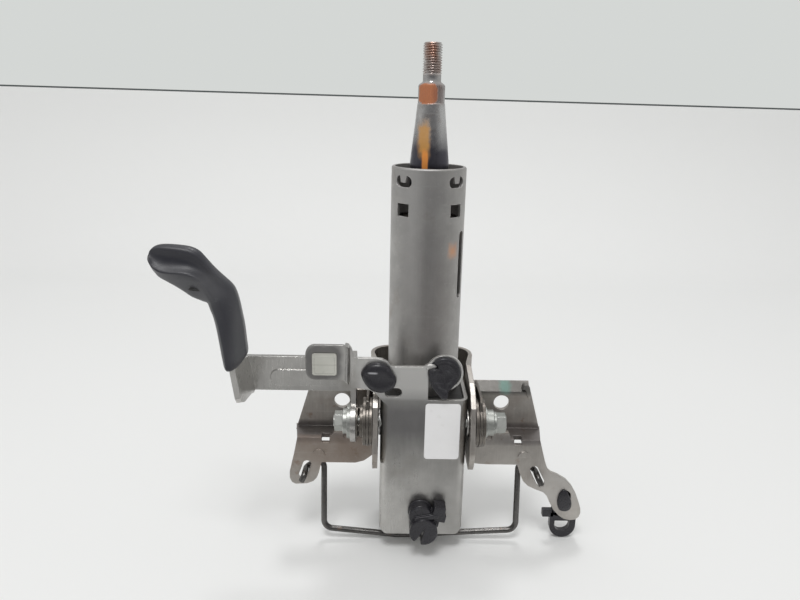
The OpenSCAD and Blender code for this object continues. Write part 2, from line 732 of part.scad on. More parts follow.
// the lever's end, folded to the viewer and leaning outward
module folded_end() {
    translate([lever_end, 0, lever_lo + 12]) rotate([0, -lever_lean, 0])
        translate([-lever_end, 0, -lever_lo - 12]) sideways(lever_end - lever_t, lever_t)
            polygon([[strip_front + lever_t, lever_lo + 0.4], [strip_front + lever_t, lever_top - 0.4],
                [strip_front - 10, lever_top + 3], [grip_y + 7, lever_top + 20], [grip_y - 7, lever_top + 20],
                [grip_y - 9, lever_lo + 10.5], [grip_y - 7, lever_lo + 7], [grip_y - 2, lever_lo + 5],
                [strip_front - 12, lever_lo + 2.4], [strip_front - 6, lever_lo + 0.4]]);
}

module lever_grip() {
    color([0.07, 0.07, 0.08]) difference() {
        union() {
            hull() {
                grip_ball(lever_end - 3, grip_y, lever_lo + 27, 7.2);
                grip_ball(lever_end - 3, grip_y - 3, lever_lo + 25, 6.6);
                grip_ball(lever_end - 11.5, grip_y, lever_lo + 68, 7.6);
                grip_ball(lever_end - 5, grip_y, lever_lo + 50, 7.4);
            }
            hull() {
                grip_ball(lever_end - 11.5, grip_y, lever_lo + 68, 7.6);
                grip_ball(lever_end - 16, grip_y, lever_lo + 84, 7.8);
                grip_ball(lever_end - 21, grip_y - 1, lever_lo + 92, 7.4);
            }
            hull() {
                grip_ball(lever_end - 16, grip_y, lever_lo + 84, 7.8);
                grip_ball(lever_end - 21, grip_y - 1, lever_lo + 92, 7.4);
                grip_ball(lever_end - 43, grip_y - 4, lever_lo + 94, 6.2);
                grip_ball(lever_end - 37, grip_y - 4, lever_lo + 97, 6.6);
                grip_ball(lever_end - 33, grip_y - 2, lever_lo + 88, 6.4);
            }
        }
        // the steel end sits inside
        folded_end();
    }
}

module grip_ball(x, y, z, r) {
    translate([x, y, z]) sphere(r, $fn = 28);
}

module moving_cam() {
    color([0.5, 0.49, 0.47]) difference() {
        on_bolt(-s6, -s5, 11);
        on_bolt(-80, 0, bolt_r);
    }
}

module clamp_bolt() {
    color([0.75, 0.75, 0.72]) {
        on_bolt(-s8 - nut_t - 0.8, head_x + 1, bolt_r);
        on_bolt(head_x, head_x + 1.6, hex_af * 0.62);
        hex_on_bolt(head_x + 1.6, head_x + head_t);
    }
}

module lever_washer() {
    color([0.76, 0.76, 0.73]) difference() {
        union() {
            on_bolt(-s7 - 2.4, -s7, 11.6);
            on_bolt(-s8, -s7 - 2.4, 8.6);
        }
        on_bolt(-90, 0, bolt_r);
    }
}

module lever_nut() {
    color([0.77, 0.77, 0.74]) difference() {
        hex_on_bolt(-s8 - nut_t, -s8);
        on_bolt(-95, 0, bolt_r);
    }
}
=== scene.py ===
import json
import math

import bmesh
import bpy
from mathutils import Matrix, Vector


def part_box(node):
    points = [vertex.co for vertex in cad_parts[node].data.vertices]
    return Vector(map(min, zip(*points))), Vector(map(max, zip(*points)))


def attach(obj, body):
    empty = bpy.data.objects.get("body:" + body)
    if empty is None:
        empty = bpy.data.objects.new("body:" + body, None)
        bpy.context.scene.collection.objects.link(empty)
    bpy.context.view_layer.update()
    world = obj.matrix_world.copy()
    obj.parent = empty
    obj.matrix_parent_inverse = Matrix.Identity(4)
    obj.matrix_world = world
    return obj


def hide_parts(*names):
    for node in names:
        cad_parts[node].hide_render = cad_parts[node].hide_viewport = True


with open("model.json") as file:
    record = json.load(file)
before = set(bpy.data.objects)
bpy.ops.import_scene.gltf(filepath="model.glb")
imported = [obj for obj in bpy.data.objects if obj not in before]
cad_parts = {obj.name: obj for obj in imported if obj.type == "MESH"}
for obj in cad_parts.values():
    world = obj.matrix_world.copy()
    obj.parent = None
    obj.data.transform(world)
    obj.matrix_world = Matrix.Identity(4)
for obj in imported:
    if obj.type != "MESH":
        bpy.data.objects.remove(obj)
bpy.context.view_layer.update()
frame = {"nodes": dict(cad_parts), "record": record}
nodes = frame["nodes"]
print("stage: frame loaded,", len(nodes), "nodes")

cameraView = {
    "place": (-0.0248, -0.4464, 0.3032),
    "turn": 1.0,  # degrees to the right
    "down": 16.216,  # degrees below level
    "roll": 1.246,
    "lens": 30.6,
    "sensor": 36,
    "nearest": 0.01,
}


def makeCamera(view):
    turn, down, roll = (math.radians(view[k]) for k in ("turn", "down", "roll"))
    ahead = Vector((math.sin(turn) * math.cos(down), math.cos(turn) * math.cos(down), -math.sin(down)))
    level = Vector((math.cos(turn), -math.sin(turn), 0))
    rise = level.cross(ahead)
    right = level * math.cos(roll) + rise * math.sin(roll)
    up = rise * math.cos(roll) - level * math.sin(roll)
    data = bpy.data.cameras.new("benchCamera")
    data.lens, data.sensor_width, data.clip_start = view["lens"], view["sensor"], view["nearest"]
    camera = bpy.data.objects.new("benchCamera", data)
    columns = (right, up, -ahead, Vector(view["place"]))
    camera.matrix_world = Matrix([[c[i] for c in columns] for i in range(3)] + [[0, 0, 0, 1]])
    bpy.context.scene.collection.objects.link(camera)
    bpy.context.scene.camera = camera


makeCamera(cameraView)
bpy.context.scene.view_settings.view_transform = "Standard"
print("stage: camera")


# small helpers for shader trees
def put(tree, kind, sockets=None, **settings):
    node = tree.nodes.new(kind)
    for key, value in settings.items():
        setattr(node, key, value)
    for key, value in (sockets or {}).items():
        if isinstance(value, bpy.types.NodeSocket):
            tree.links.new(value, node.inputs[key])
        else:
            node.inputs[key].default_value = value
    return node


def calc(tree, operation, a, b=0.5, c=0.0, clamp=False):
    return put(tree, "ShaderNodeMath", {0: a, 1: b, 2: c}, operation=operation, use_clamp=clamp).outputs[0]


def calcVector(tree, operation, a, b):
    node = put(tree, "ShaderNodeVectorMath", {0: a, 1: b}, operation=operation)
    return node.outputs["Value" if operation == "DOT_PRODUCT" else "Vector"]


def remap(tree, value, low, high, toLow=0.0, toHigh=1.0):
    sockets = {"Value": value, "From Min": low, "From Max": high, "To Min": toLow, "To Max": toHigh}
    return put(tree, "ShaderNodeMapRange", sockets).outputs[0]


def mixColour(tree, factor, a, b):
    return put(tree, "ShaderNodeMix", {0: factor, 6: a, 7: b}, data_type="RGBA").outputs[2]


def rgba(colour):
    return (*colour, 1.0)


def paler(colour, times):
    return tuple(min(1.0, c * times) for c in colour)


def startGroup(name, inputs, outputs):
    tree = bpy.data.node_groups.new(name, "ShaderNodeTree")
    for label, kind in inputs.items():
        tree.interface.new_socket(label, in_out="INPUT", socket_type="NodeSocket" + kind)
    for label in outputs:
        tree.interface.new_socket(label, in_out="OUTPUT", socket_type="NodeSocketFloat")
    return tree, tree.nodes.new("NodeGroupInput").outputs, tree.nodes.new("NodeGroupOutput").inputs


def objectPoint(tree):
    return put(tree, "ShaderNodeTexCoord").outputs["Object"]


def noiseOf(tree, point, scale, detail=4.0, rough=0.55):
    sockets = {"Vector": point, "Scale": scale, "Detail": detail, "Roughness": rough}
    return put(tree, "ShaderNodeTexNoise", sockets).outputs["Fac"]


def roundedNormal(tree, radius):
    return put(tree, "ShaderNodeBevel", {"Radius": radius}, samples=6).outputs[0]


def makeGrain():  # rolled or drawn streaks, and slow clouding
    tree, given, out = startGroup("sheetGrain", {"Stretch": "Vector", "Scale": "Float"}, ["Streak", "Cloud"])
    point = objectPoint(tree)
    pulled = calcVector(tree, "MULTIPLY", point, given["Stretch"])
    tree.links.new(noiseOf(tree, pulled, given["Scale"], 6.0, 0.65), out["Streak"])
    tree.links.new(noiseOf(tree, point, 55.0, 5.0, 0.6), out["Cloud"])
    return tree


def makeEdgeWear():  # bright rubbed edges, broken up
    tree, given, out = startGroup("edgeWear", {"Radius": "Float", "Breaks": "Float"}, ["Mask"])
    facing = put(tree, "ShaderNodeNewGeometry").outputs["Normal"]
    dot = calcVector(tree, "DOT_PRODUCT", roundedNormal(tree, given["Radius"]), facing)
    edge = remap(tree, calc(tree, "SUBTRACT", 1.0, dot), 0.01, 0.16)
    broken = remap(tree, noiseOf(tree, objectPoint(tree), given["Breaks"], 3.0), 0.35, 0.6, 0.25, 1.0)
    tree.links.new(calc(tree, "MULTIPLY", edge, broken, clamp=True), out["Mask"])
    return tree


def makeScuffs():  # fine scratches in two directions
    tree, given, out = startGroup("handlingScuffs", {"Scale": "Float", "Amount": "Float"}, ["Mask"])
    point = objectPoint(tree)
    marks = []
    for spin, pull in (((0.5, 0.3, 0.2), (1.0, 0.035, 1.0)), ((-0.7, 0.2, 1.1), (0.03, 1.0, 1.0))):
        spun = put(tree, "ShaderNodeMapping", {"Vector": point, "Rotation": spin, "Scale": pull}).outputs[0]
        marks.append(remap(tree, noiseOf(tree, spun, given["Scale"], 2.0, 0.4), 0.66, 0.72))
    both = calc(tree, "MAXIMUM", *marks)
    tree.links.new(calc(tree, "MULTIPLY", both, given["Amount"], clamp=True), out["Mask"])
    return tree


def makeDab():  # a ragged patch at one place: paint, rust and dirt, and also painted shade and painted highlights
    inputs = {"Centre": "Vector", "Size": "Vector", "Ragged": "Float", "Soft": "Float", "Scale": "Float"}
    tree, given, out = startGroup("stainAndPaintedLightDab", inputs, ["Mask"])
    point = objectPoint(tree)
    away = calcVector(tree, "SUBTRACT", point, given["Centre"])
    scaled = calcVector(tree, "DIVIDE", away, given["Size"])
    squared = calcVector(tree, "MULTIPLY", scaled, scaled)
    reach = calc(tree, "POWER", calcVector(tree, "DOT_PRODUCT", squared, squared), 0.25)  # a rounded box
    rough = calc(tree, "SUBTRACT", noiseOf(tree, point, given["Scale"], 4.0, 0.6), 0.5)
    torn = calc(tree, "MULTIPLY_ADD", rough, given["Ragged"], reach)
    low = calc(tree, "SUBTRACT", 1.0, given["Soft"])
    high = calc(tree, "ADD", 1.0, given["Soft"])
    tree.links.new(remap(tree, torn, low, high, 1.0, 0.0), out["Mask"])
    return tree


def makePatches():  # spread-out stains, by threshold
    inputs = {"Scale": "Float", "From": "Float", "To": "Float"}
    tree, given, out = startGroup("stainPatches", inputs, ["Mask"])
    cloud = noiseOf(tree, objectPoint(tree), given["Scale"], 7.0, 0.62)
    tree.links.new(remap(tree, cloud, given["From"], given["To"]), out["Mask"])
    return tree


groups = {
    "grain": makeGrain(), "wear": makeEdgeWear(), "scuffs": makeScuffs(), "dab": makeDab(),
    "patches": makePatches()}
print("stage: shader groups")


def useGroup(tree, name, sockets):
    return put(tree, "ShaderNodeGroup", sockets, node_tree=groups[name])


def startMaterial(name):
    material = bpy.data.materials.new(name)
    material.use_nodes = True
    tree = material.node_tree
    tree.nodes.clear()
    shader = put(tree, "ShaderNodeBsdfPrincipled")
    ending = put(tree, "ShaderNodeOutputMaterial")
    tree.links.new(shader.outputs[0], ending.inputs["Surface"])
    return material, tree, shader


noiseSpan = (0.3, 0.7)  # where most of a noise lies


def placedMask(tree, group, labels, mark):  # one stain or dab, with its own values
    sockets = {label: mark[label.lower()] for label in labels}
    return calc(tree, "MULTIPLY", useGroup(tree, group, sockets).outputs[0], mark["amount"])


def stainMask(tree, stain):
    return placedMask(tree, "patches", ("Scale", "From", "To"), stain)


def dabMask(tree, dab):
    return placedMask(tree, "dab", ("Centre", "Size", "Ragged", "Soft", "Scale"), dab)


def scuffMask(tree, look):
    return useGroup(tree, "scuffs", {"Scale": look["scuffScale"], "Amount": look["scuffs"]}).outputs[0]


def edgeMask(tree, look):
    wear = useGroup(tree, "wear", {"Radius": look["edge"], "Breaks": look["breaks"]}).outputs[0]
    return calc(tree, "MULTIPLY", wear, look["wear"])


def joinSurface(tree, shader, look, colour, rough, height):
    sockets = {"Strength": look["bump"], "Distance": look["bumpDepth"], "Height": height,
               "Normal": roundedNormal(tree, look["edge"])}
    bump = put(tree, "ShaderNodeBump", sockets).outputs[0]
    for label, value in (("Base Color", colour), ("Roughness", rough), ("Normal", bump)):
        tree.links.new(value, shader.inputs[label])


def steelFinish(name, look):
    material, tree, shader = startMaterial(name)
    grain = useGroup(tree, "grain", {"Stretch": look["stretch"], "Scale": look["grainScale"]})
    streak = grain.outputs["Streak"]
    clouded = remap(tree, grain.outputs["Cloud"], *noiseSpan)
    pale = rgba(paler(look["light"], look["streakPale"]))
    colour = mixColour(tree, clouded, rgba(look["dark"]), rgba(look["light"]))
    colour = mixColour(tree, remap(tree, streak, *look["streakSpan"], 0.0, look["streak"]), colour, pale)
    rough = remap(tree, streak, *noiseSpan, *look["rough"])
    rough = calc(tree, "MULTIPLY_ADD", clouded, look["cloudRough"], rough)
    for stain in look.get("stains", []):
        mask = stainMask(tree, stain)
        colour = mixColour(tree, mask, colour, rgba(stain["colour"]))
        rough = calc(tree, "MULTIPLY_ADD", mask, look["stainRough"], rough)
    scuffs = scuffMask(tree, look)
    colour = mixColour(tree, scuffs, colour, pale)
    colour = mixColour(tree, edgeMask(tree, look), colour, rgba(look["edgeColour"]))
    metal = None
    for dab in look.get("dabs", []):
        mask = dabMask(tree, dab)
        colour = mixColour(tree, mask, colour, rgba(dab["colour"]))
        rough = calc(tree, "MULTIPLY_ADD", mask, look["dabRough"], rough)
        if dab.get("paint"):  # no bare metal under paint
            bare = calc(tree, "SUBTRACT", 1.0, mask)
            metal = bare if metal is None else calc(tree, "MULTIPLY", metal, bare)
    height = calc(tree, "ADD", streak, calc(tree, "MULTIPLY", scuffs, look["scuffDepth"]))
    joinSurface(tree, shader, look, colour, rough, height)
    shader.inputs["Metallic"].default_value = 1.0
    if metal is not None:
        tree.links.new(metal, shader.inputs["Metallic"])
    return material


def plasticFinish(name, look):
    material, tree, shader = startMaterial(name)
    grain = useGroup(tree, "grain", {"Stretch": (1.0, 1.0, 1.0), "Scale": look["grainScale"]})
    clouded = remap(tree, grain.outputs["Cloud"], *noiseSpan)
    colour = mixColour(tree, clouded, rgba(look["dark"]), rgba(look["light"]))
    for mask in (scuffMask(tree, look), edgeMask(tree, look)):
        colour = mixColour(tree, mask, colour, rgba(look["rubbed"]))
    rough = remap(tree, grain.outputs["Streak"], *noiseSpan, *look["rough"])
    for dab in look.get("dabs", []):
        colour = mixColour(tree, dabMask(tree, dab), colour, rgba(dab["colour"]))
    joinSurface(tree, shader, look, colour, rough, grain.outputs["Streak"])
    return material


steelBase = {
    "stretch": (1.0, 1.0, 0.06), "grainScale": 900.0, "streak": 0.5, "streakSpan": (0.45, 0.75),
    "streakPale": 1.12, "cloudRough": -0.06, "stainRough": 0.2, "dabRough": 0.15, "bump": 0.12,
    "bumpDepth": 0.0004, "scuffs": 0.35, "scuffScale": 420.0, "scuffDepth": -0.6, "edge": 0.0006,
    "wear": 0.75, "breaks": 220.0}
plasticBase = {
    "bumpDepth": 0.0003, "scuffs": 0.3, "scuffScale": 300.0, "edge": 0.0006, "wear": 0.2, "breaks": 160.0}
rustSpots = {"scale": 160.0, "from": 0.6, "to": 0.72, "amount": 0.5, "colour": (0.26, 0.15, 0.09)}
steelLooks = {
    "pressedZinc": {
        "dark": (0.43, 0.42, 0.405), "light": (0.56, 0.55, 0.53), "rough": (0.27, 0.40),
        "edgeColour": (0.80, 0.79, 0.76), "scuffs": 0.0, "bump": 0.05, "streak": 0.3,
        "stains": [
            {"scale": 30.0, "from": 0.55, "to": 0.75, "amount": 0.35, "colour": (0.30, 0.27, 0.23)}],
        "dabs": [
            # the strap: partly its cleaner zinc, partly a painted sheen standing in for its tilt toward the
            # light
            {"centre": (-0.008, -0.036, 0.133), "size": (0.036, 0.008, 0.0172), "ragged": 0.1,
             "soft": 0.06, "scale": 120.0, "amount": 0.9, "colour": (0.76, 0.75, 0.73)},
            # painted shade on the front sheet under the strap
            {"centre": (-0.010, -0.036, 0.100), "size": (0.024, 0.008, 0.0155), "ragged": 0.2,
             "soft": 0.55, "scale": 60.0, "amount": 0.75, "colour": (0.19, 0.185, 0.19)},
            {"centre": (0.024, -0.036, 0.032), "size": (0.014, 0.008, 0.026), "ragged": 0.4, "soft": 0.8,
             "scale": 60.0, "amount": 0.55, "colour": (0.34, 0.333, 0.322)},
            # painted shade on the tab round the grommet
            {"centre": (-0.0655, -0.0431, 0.1437), "size": (0.0118, 0.0022, 0.0122), "ragged": 0.25,
             "soft": 0.16, "scale": 200.0, "amount": 0.75, "colour": (0.17, 0.165, 0.165)}]},
    "bracketSteel": {
        "dark": (0.36, 0.335, 0.31), "light": (0.50, 0.475, 0.445), "rough": (0.34, 0.5),
        "edgeColour": (0.72, 0.69, 0.64),
        "stains": [
            rustSpots,
            {"scale": 38.0, "from": 0.48, "to": 0.7, "amount": 0.5, "colour": (0.27, 0.21, 0.17)}],
        "dabs": [
            # painted shade on the shelves under both wings
            {"centre": (-0.075, -0.013, 0.0802), "size": (0.03, 0.012, 0.004), "ragged": 0.5, "soft": 0.3,
             "scale": 120.0, "amount": 0.55, "colour": (0.10, 0.09, 0.10)},
            {"centre": (0.075, -0.013, 0.0802), "size": (0.03, 0.012, 0.004), "ragged": 0.5, "soft": 0.3,
             "scale": 120.0, "amount": 0.55, "colour": (0.10, 0.09, 0.10)},
            {"centre": (-0.062, -0.022, 0.07), "size": (0.03, 0.004, 0.014), "ragged": 0.8, "soft": 0.4,
             "scale": 90.0, "amount": 0.5, "colour": (0.33, 0.25, 0.20)},
            {"centre": (0.098, -0.022, 0.043), "size": (0.018, 0.006, 0.013), "ragged": 0.5, "soft": 0.4,
             "scale": 90.0, "amount": 0.6, "colour": (0.62, 0.60, 0.575)},
            # painted shade along the top of the right flange
            {"centre": (0.055, -0.006, 0.111), "size": (0.026, 0.02, 0.0045), "ragged": 0.4, "soft": 0.3,
             "scale": 90.0, "amount": 0.85, "colour": (0.17, 0.166, 0.158)},
            {"centre": (0.0588, 0.0, 0.1112), "size": (0.0034, 0.02, 0.0042), "ragged": 1.2, "soft": 0.5,
             "scale": 260.0, "amount": 0.5, "colour": (0.20, 0.42, 0.36), "paint": True}]},
    "drawnTube": {
        "dark": (0.40, 0.39, 0.38), "light": (0.50, 0.49, 0.475), "rough": (0.46, 0.60),
        "edgeColour": (0.88, 0.88, 0.86), "stretch": (1.0, 1.0, 0.05),
        "stains": [
            {"scale": 45.0, "from": 0.56, "to": 0.72, "amount": 0.4, "colour": (0.36, 0.31, 0.27)}],
        "dabs": [
            {"centre": (0.001, -0.024, 0.165), "size": (0.012, 0.03, 0.040), "ragged": 1.3, "soft": 0.85,
             "scale": 60.0, "amount": 0.42, "colour": (0.27, 0.235, 0.22)},
            # painted shade: a dark band down the middle of the tube
            {"centre": (0.0005, -0.024, 0.215), "size": (0.0065, 0.03, 0.060), "ragged": 0.5, "soft": 0.8,
             "scale": 40.0, "amount": 0.55, "colour": (0.24, 0.233, 0.233)},
            # painted highlight: a bright streak down the tube's left side
            {"centre": (-0.0115, -0.022, 0.225), "size": (0.0050, 0.02, 0.060), "ragged": 0.4,
             "soft": 0.9, "scale": 40.0, "amount": 0.6, "colour": (0.60, 0.59, 0.58)},
            {"centre": (0.0156, -0.0186, 0.2120), "size": (0.0024, 0.006, 0.0040), "ragged": 1.2,
             "soft": 0.6, "scale": 400.0, "amount": 0.65, "colour": (0.62, 0.27, 0.10), "paint": True}]},
    "forgedShaft": {
        "dark": (0.48, 0.47, 0.465), "light": (0.68, 0.67, 0.66), "rough": (0.16, 0.30),
        "edgeColour": (0.80, 0.78, 0.75), "stretch": (1.0, 1.0, 0.3), "grainScale": 700.0,
        "stains": [
            {"scale": 120.0, "from": 0.55, "to": 0.7, "amount": 0.5, "colour": (0.22, 0.16, 0.13)}],
        "dabs": [
            {"centre": (0.0, 0.0, 0.262), "size": (0.03, 0.03, 0.022), "ragged": 0.7, "soft": 0.45,
             "scale": 90.0, "amount": 0.9, "colour": (0.055, 0.052, 0.075)},
            {"centre": (-0.0026, -0.008, 0.3086), "size": (0.0060, 0.008, 0.0062), "ragged": 0.4,
             "soft": 0.08, "scale": 260.0, "amount": 0.95, "colour": (0.43, 0.142, 0.05), "paint": True},
            {"centre": (0.0042, -0.008, 0.3086), "size": (0.0036, 0.008, 0.0062), "ragged": 1.2,
             "soft": 0.4, "scale": 260.0, "amount": 0.5, "colour": (0.22, 0.08, 0.05)},
            # painted highlight: a bright strip on the cone's right side
            {"centre": (0.0085, -0.006, 0.2945), "size": (0.0034, 0.010, 0.0130), "ragged": 0.4,
             "soft": 0.7, "scale": 120.0, "amount": 0.5, "colour": (0.84, 0.84, 0.84)},
            {"centre": (-0.0043, -0.012, 0.281), "size": (0.0036, 0.012, 0.010), "ragged": 0.9,
             "soft": 0.3, "scale": 260.0, "amount": 0.85, "colour": (0.55, 0.27, 0.055), "paint": True},
            {"centre": (-0.0035, -0.012, 0.267), "size": (0.0019, 0.012, 0.0075), "ragged": 0.5,
             "soft": 0.2, "scale": 300.0, "amount": 0.95, "colour": (0.70, 0.25, 0.04), "paint": True},
            {"centre": (-0.001, -0.006, 0.3345), "size": (0.0035, 0.006, 0.0050), "ragged": 1.4,
             "soft": 0.5, "scale": 420.0, "amount": 0.7, "colour": (0.44, 0.18, 0.09)},
            {"centre": (0.002, -0.006, 0.325), "size": (0.006, 0.006, 0.0045), "ragged": 1.6, "soft": 0.4,
             "scale": 500.0, "amount": 0.5, "colour": (0.30, 0.15, 0.10)}]},
    "brightZinc": {
        "dark": (0.36, 0.37, 0.35), "light": (0.50, 0.51, 0.485), "rough": (0.40, 0.52), "bump": 0.03,
        "scuffs": 0.1, "streak": 0.25, "edgeColour": (0.92, 0.92, 0.90), "stretch": (1.0, 1.0, 1.0),
        "grainScale": 500.0},
    "groundSteel": {
        "dark": (0.12, 0.108, 0.097), "light": (0.22, 0.20, 0.18), "rough": (0.32, 0.46),
        "edgeColour": (0.72, 0.69, 0.63), "stretch": (0.2, 1.0, 1.0), "stains": [rustSpots]},
    "springSteel": {
        "dark": (0.09, 0.087, 0.084), "light": (0.16, 0.155, 0.15), "rough": (0.26, 0.38),
        "edgeColour": (0.45, 0.43, 0.41), "stretch": (1.0, 1.0, 0.2), "stains": [rustSpots]}}
plasticLooks = {
    "blackMoulding": {
        "dark": (0.036, 0.036, 0.042), "light": (0.048, 0.048, 0.056), "rubbed": (0.09, 0.09, 0.10),
        "rough": (0.30, 0.46), "grainScale": 1900.0, "bump": 0.25, "scuffs": 0.35, "scuffScale": 380.0,
        "edge": 0.0008, "wear": 0.5,
        # painted light on the apron and the stem's right facet, painted shade in the scoop and along the
        # stem's middle
        "dabs": [
            {"centre": (-0.1400, -0.068, 0.1990), "size": (0.0165, 0.012, 0.0085), "ragged": 0.3,
             "soft": 0.6, "scale": 90.0, "amount": 0.75, "colour": (0.082, 0.082, 0.088)},
            {"centre": (-0.1470, -0.068, 0.2130), "size": (0.0150, 0.012, 0.0068), "ragged": 0.3,
             "soft": 0.6, "scale": 90.0, "amount": 0.85, "colour": (0.016, 0.016, 0.024)},
            {"centre": (-0.1125, -0.066, 0.1680), "size": (0.0046, 0.012, 0.0260), "ragged": 0.3,
             "soft": 0.5, "scale": 90.0, "amount": 0.8, "colour": (0.074, 0.075, 0.080)},
            {"centre": (-0.1195, -0.066, 0.1650), "size": (0.0040, 0.012, 0.0240), "ragged": 0.3,
             "soft": 0.6, "scale": 90.0, "amount": 0.7, "colour": (0.020, 0.020, 0.028)}]},
    "softRubber": {
        "dark": (0.016, 0.015, 0.019), "light": (0.024, 0.023, 0.028), "rubbed": (0.07, 0.07, 0.08),
        "rough": (0.22, 0.36), "grainScale": 1600.0, "bump": 0.12, "wear": 0.3,
        # a painted highlight streak on the left plug
        "dabs": [
            {"centre": (-0.0341, -0.0412, 0.1362), "size": (0.0028, 0.003, 0.0006), "ragged": 0.3,
             "soft": 0.3, "scale": 300.0, "amount": 0.7, "colour": (0.42, 0.42, 0.44)}]},
    "greyMoulding": {
        "dark": (0.42, 0.42, 0.38), "light": (0.52, 0.515, 0.47), "rubbed": (0.30, 0.29, 0.26),
        "rough": (0.45, 0.6), "grainScale": 1500.0, "bump": 0.2},
    "slidingPlastic": {
        "dark": (0.018, 0.018, 0.018), "light": (0.028, 0.027, 0.026), "rubbed": (0.06, 0.06, 0.06),
        "rough": (0.4, 0.55), "grainScale": 900.0, "bump": 0.15},
    "blankSticker": {
        "dark": (0.78, 0.775, 0.78), "light": (0.82, 0.815, 0.82), "rubbed": (0.62, 0.61, 0.59),
        "rough": (0.35, 0.5), "grainScale": 600.0, "bump": 0.06, "scuffs": 0.15, "scuffScale": 250.0,
        "edge": 0.0003, "wear": 0.15}}
finishes = {name: steelFinish(name, {**steelBase, **look}) for name, look in steelLooks.items()}
for name, look in plasticLooks.items():
    finishes[name] = plasticFinish(name, {**plasticBase, **look})
print("stage: finishes,", len(finishes))

slotFinish = {
    "zinc_steel": "pressedZinc", "bracket_steel": "bracketSteel", "tube_steel": "drawnTube",
    "shaft_steel": "forgedShaft", "bright_zinc": "brightZinc", "bearing_steel": "groundSteel",
    "dark_steel": "springSteel", "black_plastic": "blackMoulding", "grey_plastic": "greyMoulding",
    "liner_plastic": "slidingPlastic"}
slotOf = {part["node"]: part["material_slot"] for part in frame["record"]["subparts"]}
for nodeName, obj in nodes.items():
    obj.data.materials.clear()
    obj.data.materials.append(finishes[slotFinish[slotOf[nodeName]]])
print("stage: nodes dressed")


# small helpers for pieces
perMetre = 1000  # sizes in mm are divided by this


def newPiece(name, points, faces, finish, body, stands=(), smooth=True):
    mesh = bpy.data.meshes.new(name)
    mesh.from_pydata(points, [], faces)
    mesh.validate()
    work = bmesh.new()
    work.from_mesh(mesh)
    bmesh.ops.recalc_face_normals(work, faces=work.faces)
    work.to_mesh(mesh)
    work.free()
    for face in mesh.polygons:
        face.use_smooth = smooth
    mesh.materials.append(finishes[finish])
    piece = bpy.data.objects.new(name, mesh)
    bpy.context.scene.collection.objects.link(piece)
    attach(piece, body)
    if stands:
        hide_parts(*stands)
    return piece


def keepSharp(piece, degrees):
    piece.data.set_sharp_from_angle(angle=math.radians(degrees))


def softenEdges(piece, width, segments=2):
    rounding = piece.modifiers.new("soften", "BEVEL")
    rounding.width, rounding.segments, rounding.limit_method = width, segments, "ANGLE"


def ringFaces(rings, around, capped=True):
    faces = []
    for i in range(rings - 1):
        for j in range(around):
            k = (j + 1) % around
            faces.append((i * around + j, i * around + k, (i + 1) * around + k, (i + 1) * around + j))
    if capped:
        faces.append(tuple(reversed(range(around))))
        faces.append(tuple((rings - 1) * around + j for j in range(around)))
    return faces


def arcPoints(centre, reach, start, end, steps):
    angles = [math.radians(start + (end - start) * i / steps) for i in range(steps + 1)]
    return [(centre[0] + reach[0] * math.cos(a), centre[1] + reach[1] * math.sin(a)) for a in angles]


def ovalPoints(centre, reach, count):
    return arcPoints(centre, reach, 0, 360 - 360 / count, count - 1)


def circlePoints(centre, radius, count):
    return ovalPoints(centre, (radius, radius), count)


def roundedOutline(low, high, corner, steps=6):
    centres = ((high[0] - corner, high[1] - corner), (low[0] + corner, high[1] - corner),
               (low[0] + corner, low[1] + corner), (high[0] - corner, low[1] + corner))
    outline = []
    for quarter, centre in enumerate(centres):
        outline += arcPoints(centre, (corner, corner), 90 * quarter, 90 * quarter + 90, steps)
    return outline


def turned(points, centre, degrees):
    c, s = math.cos(math.radians(degrees)), math.sin(math.radians(degrees))
    away = [(x - centre[0], z - centre[1]) for x, z in points]
    return [(centre[0] + u * c - w * s, centre[1] + u * s + w * c) for u, w in away]


def curveAt(four, t):  # Catmull-Rom between the middle two of four rows
    return [0.5 * (2 * b + (c - a) * t + (2 * a - 5 * b + 4 * c - d) * t * t
                   + (3 * b - a - 3 * c + d) * t ** 3)
            for a, b, c, d in zip(*four)]


def openCurve(rows, between):
    last = len(rows) - 1
    result = []
    for i in range(last):
        four = [rows[max(0, min(last, k))] for k in (i - 1, i, i + 1, i + 2)]
        result += [curveAt(four, step / between) for step in range(between)]
    return result + [list(rows[-1])]


def closedCurve(rows, between):
    result = []
    for i in range(len(rows)):
        four = [rows[(i + k) % len(rows)] for k in (-1, 0, 1, 2)]
        result += [curveAt(four, step / between) for step in range(between)]
    return result


def joinPlates(plates, unit=perMetre, points=(), faces=()):  # each plate is an outline, its front and back
    points, faces = list(points), list(faces)
    for outline, front, back in plates:
        base, count = len(points), len(outline)
        points += [(x / unit, y / unit, z / unit) for y in (front, back) for x, z in outline]
        faces.append(tuple(range(base, base + count)))
        faces.append(tuple(reversed(range(base + count, base + 2 * count))))
        for j in range(count):
            k = (j + 1) % count
            faces.append((base + j, base + count + j, base + count + k, base + k))
    return points, faces


